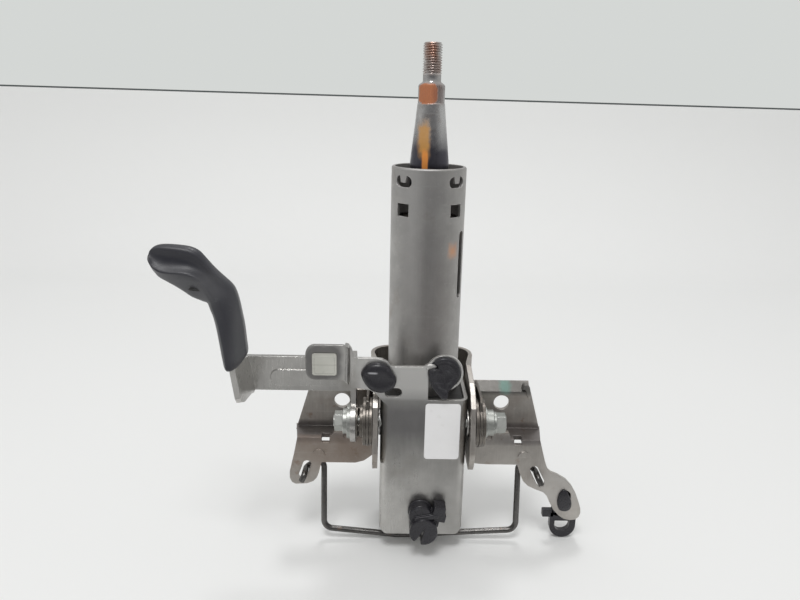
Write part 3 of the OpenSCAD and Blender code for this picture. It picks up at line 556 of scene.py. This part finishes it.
# wheel shaft, turned, with its rolled thread and serrated seat
wheelShaft = {
    "around": 144, "sharp": 32, "bottom": 0.092, "boreRadius": 0.0076, "boreTop": 0.2125,
    # height and radius, from the foot to the cone
    "journal": [
        (0.092, 0.0115), (0.2119, 0.0115), (0.212, 0.0115), (0.2139, 0.0144), (0.214, 0.0145),
        (0.2141, 0.0145), (0.2178, 0.0145), (0.2179, 0.0145), (0.218, 0.0125), (0.2181, 0.0125),
        (0.264, 0.0125), (0.266, 0.0125), (0.2663, 0.01247)],
    "cone": {"low": 0.268, "rise": 0.0338, "radius": 0.01235, "taper": 0.0036, "steps": 12},
    "shoulder": [(0.3023, 0.0087), (0.3027, 0.00862)],
    "seatFoot": (0.3030, 0.00845),
    "seat": {"low": 0.3036, "rise": 0.0096, "radius": 0.0084, "steps": 8, "teeth": 36, "toothDepth": 0.00035},
    "neckSteps": [(0.3138, 0.0082), (0.3144, 0.0077), (0.3156, 0.0060), (0.3162, 0.0057), (0.3190, 0.0057)],
    "threadLow": 0.3198, "top": 0.339, "neck": 0.0057, "core": 0.00515, "crest": 0.0060, "pitch": 0.0015,
    "stepsPerTurn": 9, "flat": 0.12, "flank": 0.46, "chamfer": 0.0011, "chamferSlope": 0.8}


def threadRadius(look, z, angle):
    phase = (z / look["pitch"] - angle / (2 * math.pi)) % 1.0
    flank = min(1.0, max(0.0, (abs(2 * phase - 1) - look["flat"]) / look["flank"]))
    runOut = min(1.0, max(0.0, (z - look["threadLow"]) / look["pitch"]))
    core = look["neck"] + (look["core"] - look["neck"]) * runOut
    full = look["neck"] + (look["crest"] - look["neck"]) * runOut
    radius = core + (full - core) * flank
    return min(radius, look["crest"] - max(0.0, z - look["top"] + look["chamfer"]) * look["chamferSlope"])


def shaftRings(look):  # height, radius and kind of each ring
    cone, seat = look["cone"], look["seat"]
    rings = [(z, r, "plain") for z, r in look["journal"]]
    for i in range(cone["steps"] + 1):
        share = i / cone["steps"]
        rings.append((cone["low"] + cone["rise"] * share, cone["radius"] - cone["taper"] * share, "plain"))
    rings += [(z, r, "plain") for z, r in look["shoulder"]]
    rings.append((*look["seatFoot"], "tooth"))
    for i in range(seat["steps"] + 1):
        rings.append((seat["low"] + seat["rise"] * i / seat["steps"], seat["radius"], "tooth"))
    rings += [(z, r, "plain") for z, r in look["neckSteps"]]
    length = look["top"] - look["threadLow"]
    steps = int(length / look["pitch"] * look["stepsPerTurn"])
    return rings + [(look["threadLow"] + length * i / steps, 0.0, "thread") for i in range(steps + 1)]


def buildWheelShaft(look):
    around, seat = look["around"], look["seat"]
    rings = shaftRings(look)
    angles = [2 * math.pi * j / around for j in range(around)]
    points = []
    for z, r, kind in rings:
        for angle in angles:
            radius = r
            if kind == "tooth":
                phase = (angle * seat["teeth"] / (2 * math.pi)) % 1.0
                radius = r - seat["toothDepth"] * abs(2 * phase - 1)
            elif kind == "thread":
                radius = threadRadius(look, z, angle)
            points.append((radius * math.cos(angle), radius * math.sin(angle), z))
    faces = ringFaces(len(rings), around, capped=False)
    faces.append(tuple((len(rings) - 1) * around + j for j in range(around)))
    # the bore that the lower shaft slides in
    base, bore = len(points), look["boreRadius"]
    for z in (look["bottom"], look["boreTop"]):
        points += [(bore * math.cos(angle), bore * math.sin(angle), z) for angle in angles]
    for j in range(around):
        k = (j + 1) % around
        faces.append((base + j, base + around + j, base + around + k, base + k))
        faces.append((j, base + j, base + k, k))
    faces.append(tuple(base + around + j for j in range(around)))
    piece = newPiece("wheelShaftTurned", points, faces, "forgedShaft", "wheel_shaft",
                     ["upper_shaft"])
    keepSharp(piece, look["sharp"])


buildWheelShaft(wheelShaft)
print("stage: wheel shaft")


# blank sticker on the body's front sheet
sticker = {
    "low": (0.0007, 0.0726), "high": (0.0241, 0.1132), "corner": 0.0022, "face": -0.0361, "thick": 0.00018,
    "sunk": 0.00002}


def buildSticker(look):
    outline = roundedOutline(look["low"], look["high"], look["corner"])
    plate = (outline, look["face"] - look["thick"], look["face"] + look["sunk"])
    points, faces = joinPlates([plate], unit=1)
    newPiece("blankLabel", points, faces, "blankSticker", "column", smooth=False)


buildSticker(sticker)
print("stage: label")


# lever grip, lofted through sections from the stem's end to the paddle's tip
leverGrip = {
    "mid": -60.0, "between": 3,
    # left x and z, right x and z, depth, ridge place, share of paddle, forward shift; mm
    "sections": [
        (-120.8, 147.2, -115.4, 147.9, 6.6, 0.55, 0.0, -3.2),
        (-122.5, 148.6, -113.4, 149.6, 7.8, 0.57, 0.0, -3.4),
        (-123.4, 153.2, -110.9, 153.2, 8.4, 0.58, 0.0, -3.4),
        (-124.2, 158.0, -108.7, 156.9, 8.5, 0.57, 0.0, -3.4),
        (-124.8, 162.9, -109.1, 163.2, 8.5, 0.55, 0.0, -3.3),
        (-126.3, 173.4, -109.9, 173.7, 8.6, 0.51, 0.0, -2.8),
        (-127.8, 180.5, -111.0, 180.6, 8.6, 0.48, 0.0, -2.4),
        (-129.4, 184.8, -112.1, 187.9, 8.7, 0.45, 0.05, -2.2),
        (-130.7, 188.4, -113.8, 194.7, 8.8, 0.43, 0.20, -2.0),
        (-132.9, 188.9, -115.8, 199.0, 8.8, 0.45, 0.45, -2.0),
        (-136.2, 189.8, -119.8, 203.3, 8.8, 0.52, 0.70, -2.1),
        (-140.2, 191.3, -123.7, 207.4, 8.8, 0.60, 0.9, -2.4),
        (-144.5, 194.4, -127.5, 211.9, 8.7, 0.60, 1.0, -2.7),
        (-148.4, 197.2, -131.3, 216.8, 8.5, 0.50, 1.0, -3.0),
        (-151.6, 199.3, -134.0, 219.7, 8.2, 0.40, 1.0, -3.3),
        (-154.8, 201.4, -138.3, 221.8, 7.8, 0.30, 1.0, -3.6),
        (-157.6, 203.4, -144.1, 222.7, 7.3, 0.24, 1.0, -3.8),
        (-159.2, 205.6, -150.0, 223.1, 6.8, 0.21, 1.0, -4.0),
        (-160.8, 207.9, -155.2, 222.9, 6.2, 0.22, 1.0, -4.0),
        (-161.9, 210.6, -159.0, 221.6, 5.4, 0.28, 0.8, -4.0),
        (-162.4, 213.0, -161.3, 219.4, 4.0, 0.4, 0.3, -4.0),
        (-162.5, 214.8, -162.2, 217.4, 2.2, 0.5, 0.0, -4.0)],
    # depth across the front, from left to right, as (place, depth), with its ridge at half the width
    "stemFront": [
        (0.0, 0.0), (0.03, 0.55), (0.17, 0.90), (0.21, 0.97), (0.25, 1.0), (0.5, 1.0), (0.54, 0.97),
        (0.60, 0.90), (0.93, 0.36), (0.975, 0.24), (1.0, 0.0)],
    "paddleFront": [
        (0.0, 0.0), (0.04, 0.24), (0.10, 0.36), (0.44, 0.93), (0.48, 0.99), (0.5, 1.0), (0.53, 0.95),
        (0.64, 0.46), (0.80, 0.34), (0.93, 0.70), (1.0, 0.0)],
    "back": [(0.97, 0.40), (0.86, 0.70), (0.62, 0.86), (0.38, 0.86), (0.14, 0.70), (0.03, 0.40)],
    "slot": {"centre": (-135.8, 197.4), "reach": (4.0, 0.7), "lean": -4.0, "face": -69.3, "deep": 4.0,
             "points": 24}}


def gripRing(look, row):
    leftX, leftZ, rightX, rightZ, depth, ridge, paddle, shift = row
    ring = []
    for (stemPlace, stemDepth), (paddlePlace, paddleDepth) in zip(look["stemFront"], look["paddleFront"]):
        place = stemPlace + (paddlePlace - stemPlace) * paddle
        # the ridge slides across the section
        place = place * ridge * 2 if place < 0.5 else 1 - (1 - place) * (1 - ridge) * 2
        ring.append((place, shift - depth * (stemDepth + (paddleDepth - stemDepth) * paddle)))
    ring += [(place, shift * paddle + depth * out) for place, out in look["back"]]
    points = []
    for place, y in ring:
        x = leftX + (rightX - leftX) * place
        z = leftZ + (rightZ - leftZ) * place
        points.append((x / perMetre, (look["mid"] + y) / perMetre, z / perMetre))
    return points


def buildGrip(look):
    rings = [gripRing(look, row) for row in openCurve(look["sections"], look["between"])]
    points = [point for ring in rings for point in ring]
    faces = ringFaces(len(rings), len(rings[0]))
    piece = newPiece("leverGripMoulded", points, faces, "blackMoulding", "lever",
                     ["lever_grip"])
    smoothing = piece.modifiers.new("smooth", "SUBSURF")
    smoothing.levels = smoothing.render_levels = 1
    # a dark lozenge for the small moulded slot under the paddle: painted shade in place of the slot's recess
    slot = look["slot"]
    outline = turned(ovalPoints(slot["centre"], slot["reach"], slot["points"]), slot["centre"], slot["lean"])
    points, faces = joinPlates([(outline, slot["face"], slot["face"] + slot["deep"])])
    newPiece("gripSlotShade", points, faces, "slidingPlastic", "lever", smooth=False)


buildGrip(leverGrip)
print("stage: lever grip")


# moulded plugs in the strap: a stem, then a dome whose outline isn't quite round; mm
strapFace = -36.1
plugLeft = {
    "face": strapFace, "centre": (-30.2, 133.2), "stem": [(2.6, 6.6), (4.0, 2.6), (4.0, 0.1)],
    "outline": [
        (-41.8, 133.8), (-40.0, 138.0), (-36.2, 141.2), (-30.0, 142.2), (-24.6, 140.2), (-21.4, 136.0),
        (-18.8, 131.0), (-19.6, 126.4), (-23.0, 123.0), (-28.4, 121.4), (-34.4, 122.8), (-39.2, 127.4)],
    # share of the outline and height above the strap
    "dome": [
        (0.93, -0.1), (0.985, -0.7), (1.0, -1.6), (0.985, -2.8), (0.93, -4.0), (0.80, -4.9), (0.55, -5.4),
        (0.28, -5.6), (0.08, -5.65)]}
plugRight = {
    "face": strapFace, "centre": (12.4, 134.9),
    "stem": [(8.0, 8.2), (9.0, 6.4), (10.5, 4.6), (10.5, 0.0)],
    "outline": [
        (1.9, 133.4), (2.2, 136.8), (4.4, 138.2), (6.8, 138.6), (8.0, 139.4), (6.8, 141.4), (5.4, 143.2),
        (7.6, 145.2), (11.9, 146.4), (18.4, 144.4), (22.2, 138.8), (22.0, 132.2), (18.6, 126.6),
        (15.4, 122.8), (14.9, 118.4), (13.2, 116.9), (11.0, 117.6), (8.4, 120.4), (5.2, 124.0),
        (2.9, 128.6)],
    "dome": [
        (0.97, -0.2), (1.0, -0.8), (1.0, -2.0), (0.96, -3.0), (0.88, -3.5), (0.80, -3.3), (0.72, -2.7),
        (0.50, -2.9), (0.25, -3.3), (0.06, -3.4)]}


def plugRings(look, between=5):
    x0, z0 = look["centre"]
    outline = closedCurve(look["outline"], between)
    rings = []
    for radius, depth in look["stem"]:
        ring = []
        for x, z in outline:
            share = radius / math.hypot(x - x0, z - z0)
            ring.append((x0 + (x - x0) * share, look["face"] + depth, z0 + (z - z0) * share))
        rings.append(ring)
    for share, height in look["dome"]:
        y = look["face"] + height
        rings.append([(x0 + (x - x0) * share, y, z0 + (z - z0) * share) for x, z in outline])
    points = [tuple(v / perMetre for v in point) for ring in rings for point in ring]
    return points, ringFaces(len(rings), len(outline))


def buildPlug(name, look, node):
    points, faces = plugRings(look)
    newPiece(name, points, faces, "softRubber", "column", [node])


buildPlug("plugLeftMoulded", plugLeft, "plug_left")
buildPlug("plugRightMoulded", plugRight, "plug_right")
print("stage: plugs")


# harness clip: flange, round head with a band, latch block and split jaw; mm
harnessClip = {
    "flange": {"centre": (-0.6, 33.2), "radius": 8.6, "front": -38.4},
    "stem": {"radius": 3.5, "back": -29.5},
    "head": {"centre": (-0.8, 33.4), "radius": 7.7, "front": -44.6},
    "band": {"low": (-4.6, 31.4), "high": (11.6, 34.8), "corner": 0.7, "front": -46.4, "lean": 11.0},
    "latch": [
        {"low": (7.4, 34.2), "high": (15.4, 41.0), "front": -46.2},
        {"low": (8.8, 29.6), "high": (17.0, 35.0), "front": -45.0},
        {"low": (6.6, 24.0), "high": (13.6, 30.4), "front": -43.2}],
    "ease": 0.7, "latchCorner": 0.8, "latchLean": -11.0, "latchCentre": (11.6, 34.6),
    "neck": {"low": (-7.6, 23.0), "high": (9.4, 33.0), "corner": 2.0, "front": -44.0},
    "jaw": {
        "centre": (1.5, 23.0), "radius": 9.6, "front": -48.0, "gap": 0.4, "steps": 48,
        "from": -101.0, "to": 228.0,
        "slit": [(-2.9, 17.6), (-0.4, 21.6), (2.4, 25.8), (1.3, 21.8), (0.6, 17.4)]}}


def buildClip(look):
    flange, stem, head, band, neck, jaw = (look[k] for k in ("flange", "stem", "head", "band", "neck", "jaw"))
    middle = [(band["low"][k] + band["high"][k]) / 2 for k in (0, 1)]
    bandOutline = turned(roundedOutline(band["low"], band["high"], band["corner"]), middle, band["lean"])
    plates = [
        (circlePoints(flange["centre"], stem["radius"], 24), strapFace, stem["back"]),
        (circlePoints(flange["centre"], flange["radius"], 36), flange["front"], strapFace),
        (circlePoints(head["centre"], head["radius"], 36), head["front"], flange["front"]),
        (bandOutline, band["front"], strapFace)]
    for block in look["latch"]:
        outline = roundedOutline(block["low"], block["high"], look["latchCorner"])
        plates.append((turned(outline, look["latchCentre"], look["latchLean"]), block["front"], strapFace))
    plates.append((roundedOutline(neck["low"], neck["high"], neck["corner"]), neck["front"], strapFace))
    jawArc = arcPoints(jaw["centre"], (jaw["radius"],) * 2, jaw["from"], jaw["to"], jaw["steps"])
    plates.append((jawArc + jaw["slit"], jaw["front"], strapFace - jaw["gap"]))
    points, faces = joinPlates(plates)
    piece = newPiece("harnessClipMoulded", points, faces, "softRubber", "column",
                     ["harness_clip"], smooth=False)
    softenEdges(piece, look["ease"] / perMetre, 3)


buildClip(harnessClip)
print("stage: harness clip")


def buildPressed(name, look, finish, body):  # a small pressed form with eased edges
    plate = (closedCurve(look["outline"], 3), look["front"], look["back"])
    points, faces = joinPlates([plate])
    piece = newPiece(name, points, faces, finish, body)
    keepSharp(piece, look["sharp"])
    softenEdges(piece, look["ease"] / perMetre)


# steel nib of the strap's hook, in the bite of the right plug; mm
strapNib = {
    "front": -36.6, "back": -34.6, "ease": 0.4, "sharp": 40,
    "outline": [
        (0.6, 140.2), (3.6, 140.8), (6.0, 140.6), (7.4, 139.3), (6.1, 138.2), (3.4, 137.4), (0.6, 137.0)]}
buildPressed("strapNib", strapNib, "pressedZinc", "column")
print("stage: strap nib")


# clip in the ear: an egg-shaped dome through the hole, a tail block and an open loop behind; mm
earClip = {
    "ease": 0.6, "sharp": 35,
    "dome": {
        "face": -22.0, "centre": (103.0, 32.6), "stem": [(3.4, 4.4), (3.4, 0.0)],
        "outline": [
            (101.9, 42.0), (104.4, 40.0), (106.8, 35.6), (108.2, 30.4), (107.2, 26.0), (103.6, 24.4),
            (99.6, 25.8), (97.9, 30.6), (97.9, 36.0), (99.4, 40.2)],
        "dome": [(0.96, -0.05), (1.0, -0.4), (0.97, -1.1), (0.85, -1.7), (0.55, -2.1), (0.2, -2.3)]},
    "plate": {"low": (95.5, 18.0), "high": (109.0, 42.0), "corner": 4.0, "front": -18.8, "back": -16.0},
    "tail": {"low": (88.9, 17.2), "high": (97.2, 22.8), "corner": 0.8, "front": -18.8, "back": -14.8},
    "loop": {
        "front": -18.8, "back": -14.0, "centre": (104.2, 10.0), "reach": (9.4, 9.4), "top": 21.0,
        "hole": {"centre": (103.8, 10.4), "reach": (5.4, 4.8), "top": 14.0}}}


def loopOutline(look, steps=20):  # half an ellipse below, straight sides to the top
    x, wide = look["centre"][0], look["reach"][0]
    corners = [(x + wide, look["top"]), (x - wide, look["top"])]
    return corners + arcPoints(look["centre"], look["reach"], 180, 360, steps)


def buildEarClip(look):
    points, faces = plugRings(look["dome"])
    plates = [(roundedOutline(block["low"], block["high"], block["corner"]), block["front"], block["back"])
              for block in (look["plate"], look["tail"])]
    points, faces = joinPlates(plates, points=points, faces=faces)
    # the loop: matching outer and inner outlines, joined all round
    loop = look["loop"]
    outer, inner = loopOutline(loop), loopOutline(loop["hole"])
    count, front = len(outer), len(points)
    back = front + 2 * count
    for y in (loop["front"], loop["back"]):
        points += [(x / perMetre, y / perMetre, z / perMetre) for x, z in outer + inner]
    for j in range(count):
        k = (j + 1) % count
        faces.append((front + j, front + k, front + count + k, front + count + j))
        faces.append((back + j, back + count + j, back + count + k, back + k))
        faces.append((front + j, back + j, back + k, front + k))
        faces.append((front + count + j, front + count + k, back + count + k, back + count + j))
    piece = newPiece("earClipMoulded", points, faces, "softRubber", "mount", ["ear_clip"])
    keepSharp(piece, look["sharp"])
    softenEdges(piece, look["ease"] / perMetre)


buildEarClip(earClip)
print("stage: ear clip")


# curled lip at the end of the right flange; mm
flangeLip = {
    "front": -6.4, "back": -1.0, "ease": 0.5, "sharp": 40,
    "outline": [
        (70.4, 110.4), (71.2, 113.6), (73.0, 114.6), (75.0, 113.6), (76.0, 110.4), (76.3, 105.6),
        (75.2, 104.0), (74.2, 106.0), (73.2, 109.2), (71.8, 111.0)]}
buildPressed("flangeLip", flangeLip, "bracketSteel", "mount")
print("stage: flange lip")


# grommet on the tab: a pad with a raised face, and its shank through the sheet
grommet = {
    "corner": 0.0016, "inset": 0.0014, "shank": 0.0034, "ease": 0.0004, "padFront": 0.0003, "padBack": 0.0018,
    "faceBack": 0.001}


def buildGrommet(look):
    (left, front, bottom), (right, back, top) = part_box("cover_grommet")
    inset, corner = look["inset"], look["corner"]
    pad = roundedOutline((left, bottom), (right, top), corner)
    face = roundedOutline((left + inset, bottom + inset), (right - inset, top - inset), corner)
    shank = circlePoints(((left + right) / 2, (bottom + top) / 2), look["shank"], 24)
    plates = [
        (pad, front + look["padFront"], front + look["padBack"]),
        (face, front, front + look["faceBack"]),
        (shank, front + look["faceBack"], back)]
    points, faces = joinPlates(plates, unit=1)
    piece = newPiece("grommetMoulded", points, faces, "greyMoulding", "column",
                     ["cover_grommet"], smooth=False)
    softenEdges(piece, look["ease"])


buildGrommet(grommet)
print("stage: grommet")


# wire bail, one swept wire with round bends; mm
wireBail = {
    "radius": 2.1, "around": 20, "arcSteps": 7, "sharp": 60,
    # corner points with the bend radius at each
    "route": [
        ((-83.2, -26.6, 48.8), 0.0), ((-81.2, -26.6, 53.6), 2.6), ((-81.2, -14.5, 53.6), 4.0),
        ((-68.6, -13.6, 60.0), 4.5), ((-68.4, -22.0, 8.8), 6.5), ((-14.7, -22.0, 3.4), 40.0),
        ((30.0, -22.0, 6.2), 60.0), ((69.4, -22.0, 8.6), 6.5), ((69.6, -13.6, 60.0), 4.5),
        ((81.6, -14.5, 53.4), 4.0), ((81.6, -26.6, 53.4), 2.6), ((84.2, -26.6, 48.2), 0.0)]}


def roundedRoute(route, steps):
    points = [Vector(route[0][0])]
    for (before, _), (corner, radius), (after, _) in zip(route, route[1:], route[2:]):
        before, corner, after = Vector(before), Vector(corner), Vector(after)
        inward, outward = (before - corner).normalized(), (after - corner).normalized()
        half = inward.angle(outward) / 2
        reach = min(radius / math.tan(half), 0.48 * (before - corner).length, 0.48 * (after - corner).length)
        radius = reach * math.tan(half)
        centre = corner + (inward + outward).normalized() * radius / math.sin(half)
        start, end = corner + inward * reach - centre, corner + outward * reach - centre
        for i in range(steps + 1):
            points.append(centre + start.slerp(end, i / steps) * radius)
    return points + [Vector(route[-1][0])]


def sweepWire(path, radius, around):
    side = Vector((0, 1, 0))
    points = []
    for i, here in enumerate(path):
        along = (path[min(i + 1, len(path) - 1)] - path[max(i - 1, 0)]).normalized()
        side = (side - along * side.dot(along)).normalized()
        other = along.cross(side)
        for j in range(around):
            a = 2 * math.pi * j / around
            points.append(tuple((here + (side * math.cos(a) + other * math.sin(a)) * radius) / perMetre))
    return points, ringFaces(len(path), around)


def buildBail(look):
    path = roundedRoute(look["route"], look["arcSteps"])
    points, faces = sweepWire(path, look["radius"], look["around"])
    piece = newPiece("bailWire", points, faces, "springSteel", "mount", ["bail"])
    keepSharp(piece, look["sharp"])


buildBail(wireBail)
print("stage: bail")


# bench, backdrop edge and light
bench = {
    "near": -2.5, "bend": 0.72, "back": 1.0, "bendSteps": 12, "width": 3.0, "colour": (0.82, 0.825, 0.82),
    "rough": 0.6, "edgeLeft": 0.3175, "edgeRight": 0.3045, "edgeSpan": 0.82, "edgeHigh": 0.0032,
    "edgeColour": (0.09, 0.10, 0.10), "edgeRough": 0.7, "shade": (0.11, 0.11, 0.11),
    "shadeStart": (-0.105, -0.19), "shadeEnd": (-0.345, -0.27), "farShade": (-0.45, -0.80, 0.0, 0.6)}


def plainMaterial(name, colour, rough):
    material, tree, shader = startMaterial(name)
    mottle = noiseOf(tree, objectPoint(tree), 3.0, 2.0)
    mottled = mixColour(tree, mottle, rgba(colour), rgba(paler(colour, 1.015)))
    tree.links.new(mottled, shader.inputs["Base Color"])
    shader.inputs["Roughness"].default_value = rough
    shader.inputs["Specular IOR Level"].default_value = 0.2
    return material


# metal mirrors a darker near bench
def benchMaterial(look):
    material = plainMaterial("benchTop", look["colour"], look["rough"])
    tree = material.node_tree
    shader = next(n for n in tree.nodes if n.type == "BSDF_PRINCIPLED")
    bright = shader.inputs["Base Color"].links[0].from_socket
    place = put(tree, "ShaderNodeSeparateXYZ", {0: put(tree, "ShaderNodeNewGeometry").outputs["Position"]})
    rising = remap(tree, place.outputs["Y"], *look["shadeStart"])
    falling = remap(tree, place.outputs["Y"], *look["shadeEnd"])
    distant = remap(tree, place.outputs["Y"], *look["farShade"])
    shaded = calc(tree, "MAXIMUM", calc(tree, "MULTIPLY", rising, falling), distant)
    mirrored = put(tree, "ShaderNodeLightPath").outputs["Is Glossy Ray"]
    colour = mixColour(tree, calc(tree, "MULTIPLY", shaded, mirrored), bright, rgba(look["shade"]))
    tree.links.new(colour, shader.inputs["Base Color"])
    return material


def stageMesh(name, points, faces, material):
    mesh = bpy.data.meshes.new(name)
    mesh.from_pydata(points, [], faces)
    for face in mesh.polygons:
        face.use_smooth = True
    mesh.materials.append(material)
    obj = bpy.data.objects.new(name, mesh)
    bpy.context.scene.collection.objects.link(obj)


def buildBench(look):
    rows = [(look["near"], 0.0), (look["bend"], 0.0)]
    for i in range(1, look["bendSteps"] + 1):
        a = math.radians(90 * i / look["bendSteps"])
        rows.append((look["bend"] + (look["back"] - look["bend"]) * math.sin(a), 1 - math.cos(a)))
    middle = (look["edgeLeft"] + look["edgeRight"]) / 2
    points = []
    for y, rise in rows:
        for side, top in ((-1, look["edgeLeft"]), (1, look["edgeRight"])):
            slope = (top - middle) * look["width"] / look["edgeSpan"]
            points.append((side * look["width"], y, rise * (middle + slope)))
    faces = [(2 * i, 2 * i + 1, 2 * i + 3, 2 * i + 2) for i in range(len(rows) - 1)]
    stageMesh("bench", points, faces, benchMaterial(look))
    left, right = points[-2:]
    strip = [left, right] + [(x, y, z + look["edgeHigh"]) for x, y, z in (right, left)]
    edgeMaterial = plainMaterial("benchEdgeDark", look["edgeColour"], look["edgeRough"])
    stageMesh("benchEdge", strip, [(0, 1, 2, 3)], edgeMaterial)


buildBench(bench)

room = {
    "frontSpan": (-0.95, -0.1), "ceilingSpan": (0.1, 0.75),  # of the heading
    "behind": (0.66, 0.68, 0.665), "sides": (0.46, 0.465, 0.46), "front": (0.15, 0.15, 0.155),
    "soft": (0.66, 0.66, 0.65), "ceiling": (0.58, 0.58, 0.575), "aim": (0.0, 0.0, 0.1),
    "lamps": {
        "frontPanel": {"place": (-0.2, -0.9, 1.9), "power": 14.5, "size": 0.6},
        "rearPanel": {"place": (0.1, 0.8, 1.9), "power": 7.0, "size": 0.4}}}


def buildLight(look):
    world = bpy.data.worlds.new("workshop")
    bpy.context.scene.world = world
    world.use_nodes = True
    tree = world.node_tree
    tree.nodes.clear()
    heading = put(tree, "ShaderNodeSeparateXYZ", {0: put(tree, "ShaderNodeTexCoord").outputs["Generated"]})
    fromFront = remap(tree, heading.outputs["Y"], *look["frontSpan"])
    sides = mixColour(tree, fromFront, rgba(look["front"]), rgba(look["sides"]))
    rays = put(tree, "ShaderNodeLightPath")
    sides = mixColour(tree, rays.outputs["Is Diffuse Ray"], sides, rgba(look["soft"]))
    overhead = remap(tree, heading.outputs["Z"], *look["ceilingSpan"])
    lit = mixColour(tree, overhead, sides, rgba(look["ceiling"]))
    colour = mixColour(tree, rays.outputs["Is Camera Ray"], lit, rgba(look["behind"]))
    sky = put(tree, "ShaderNodeBackground", {"Color": colour, "Strength": 1.0})
    tree.links.new(sky.outputs[0], put(tree, "ShaderNodeOutputWorld").inputs["Surface"])
    for name, panel in look["lamps"].items():
        lamp = bpy.data.lights.new(name, "AREA")
        lamp.shape, lamp.size, lamp.energy = "SQUARE", panel["size"], panel["power"]
        obj = bpy.data.objects.new(name, lamp)
        obj.location = panel["place"]
        obj.rotation_euler = (Vector(look["aim"]) - obj.location).to_track_quat("-Z", "Y").to_euler()
        bpy.context.scene.collection.objects.link(obj)


buildLight(room)
print("stage: bench and light")
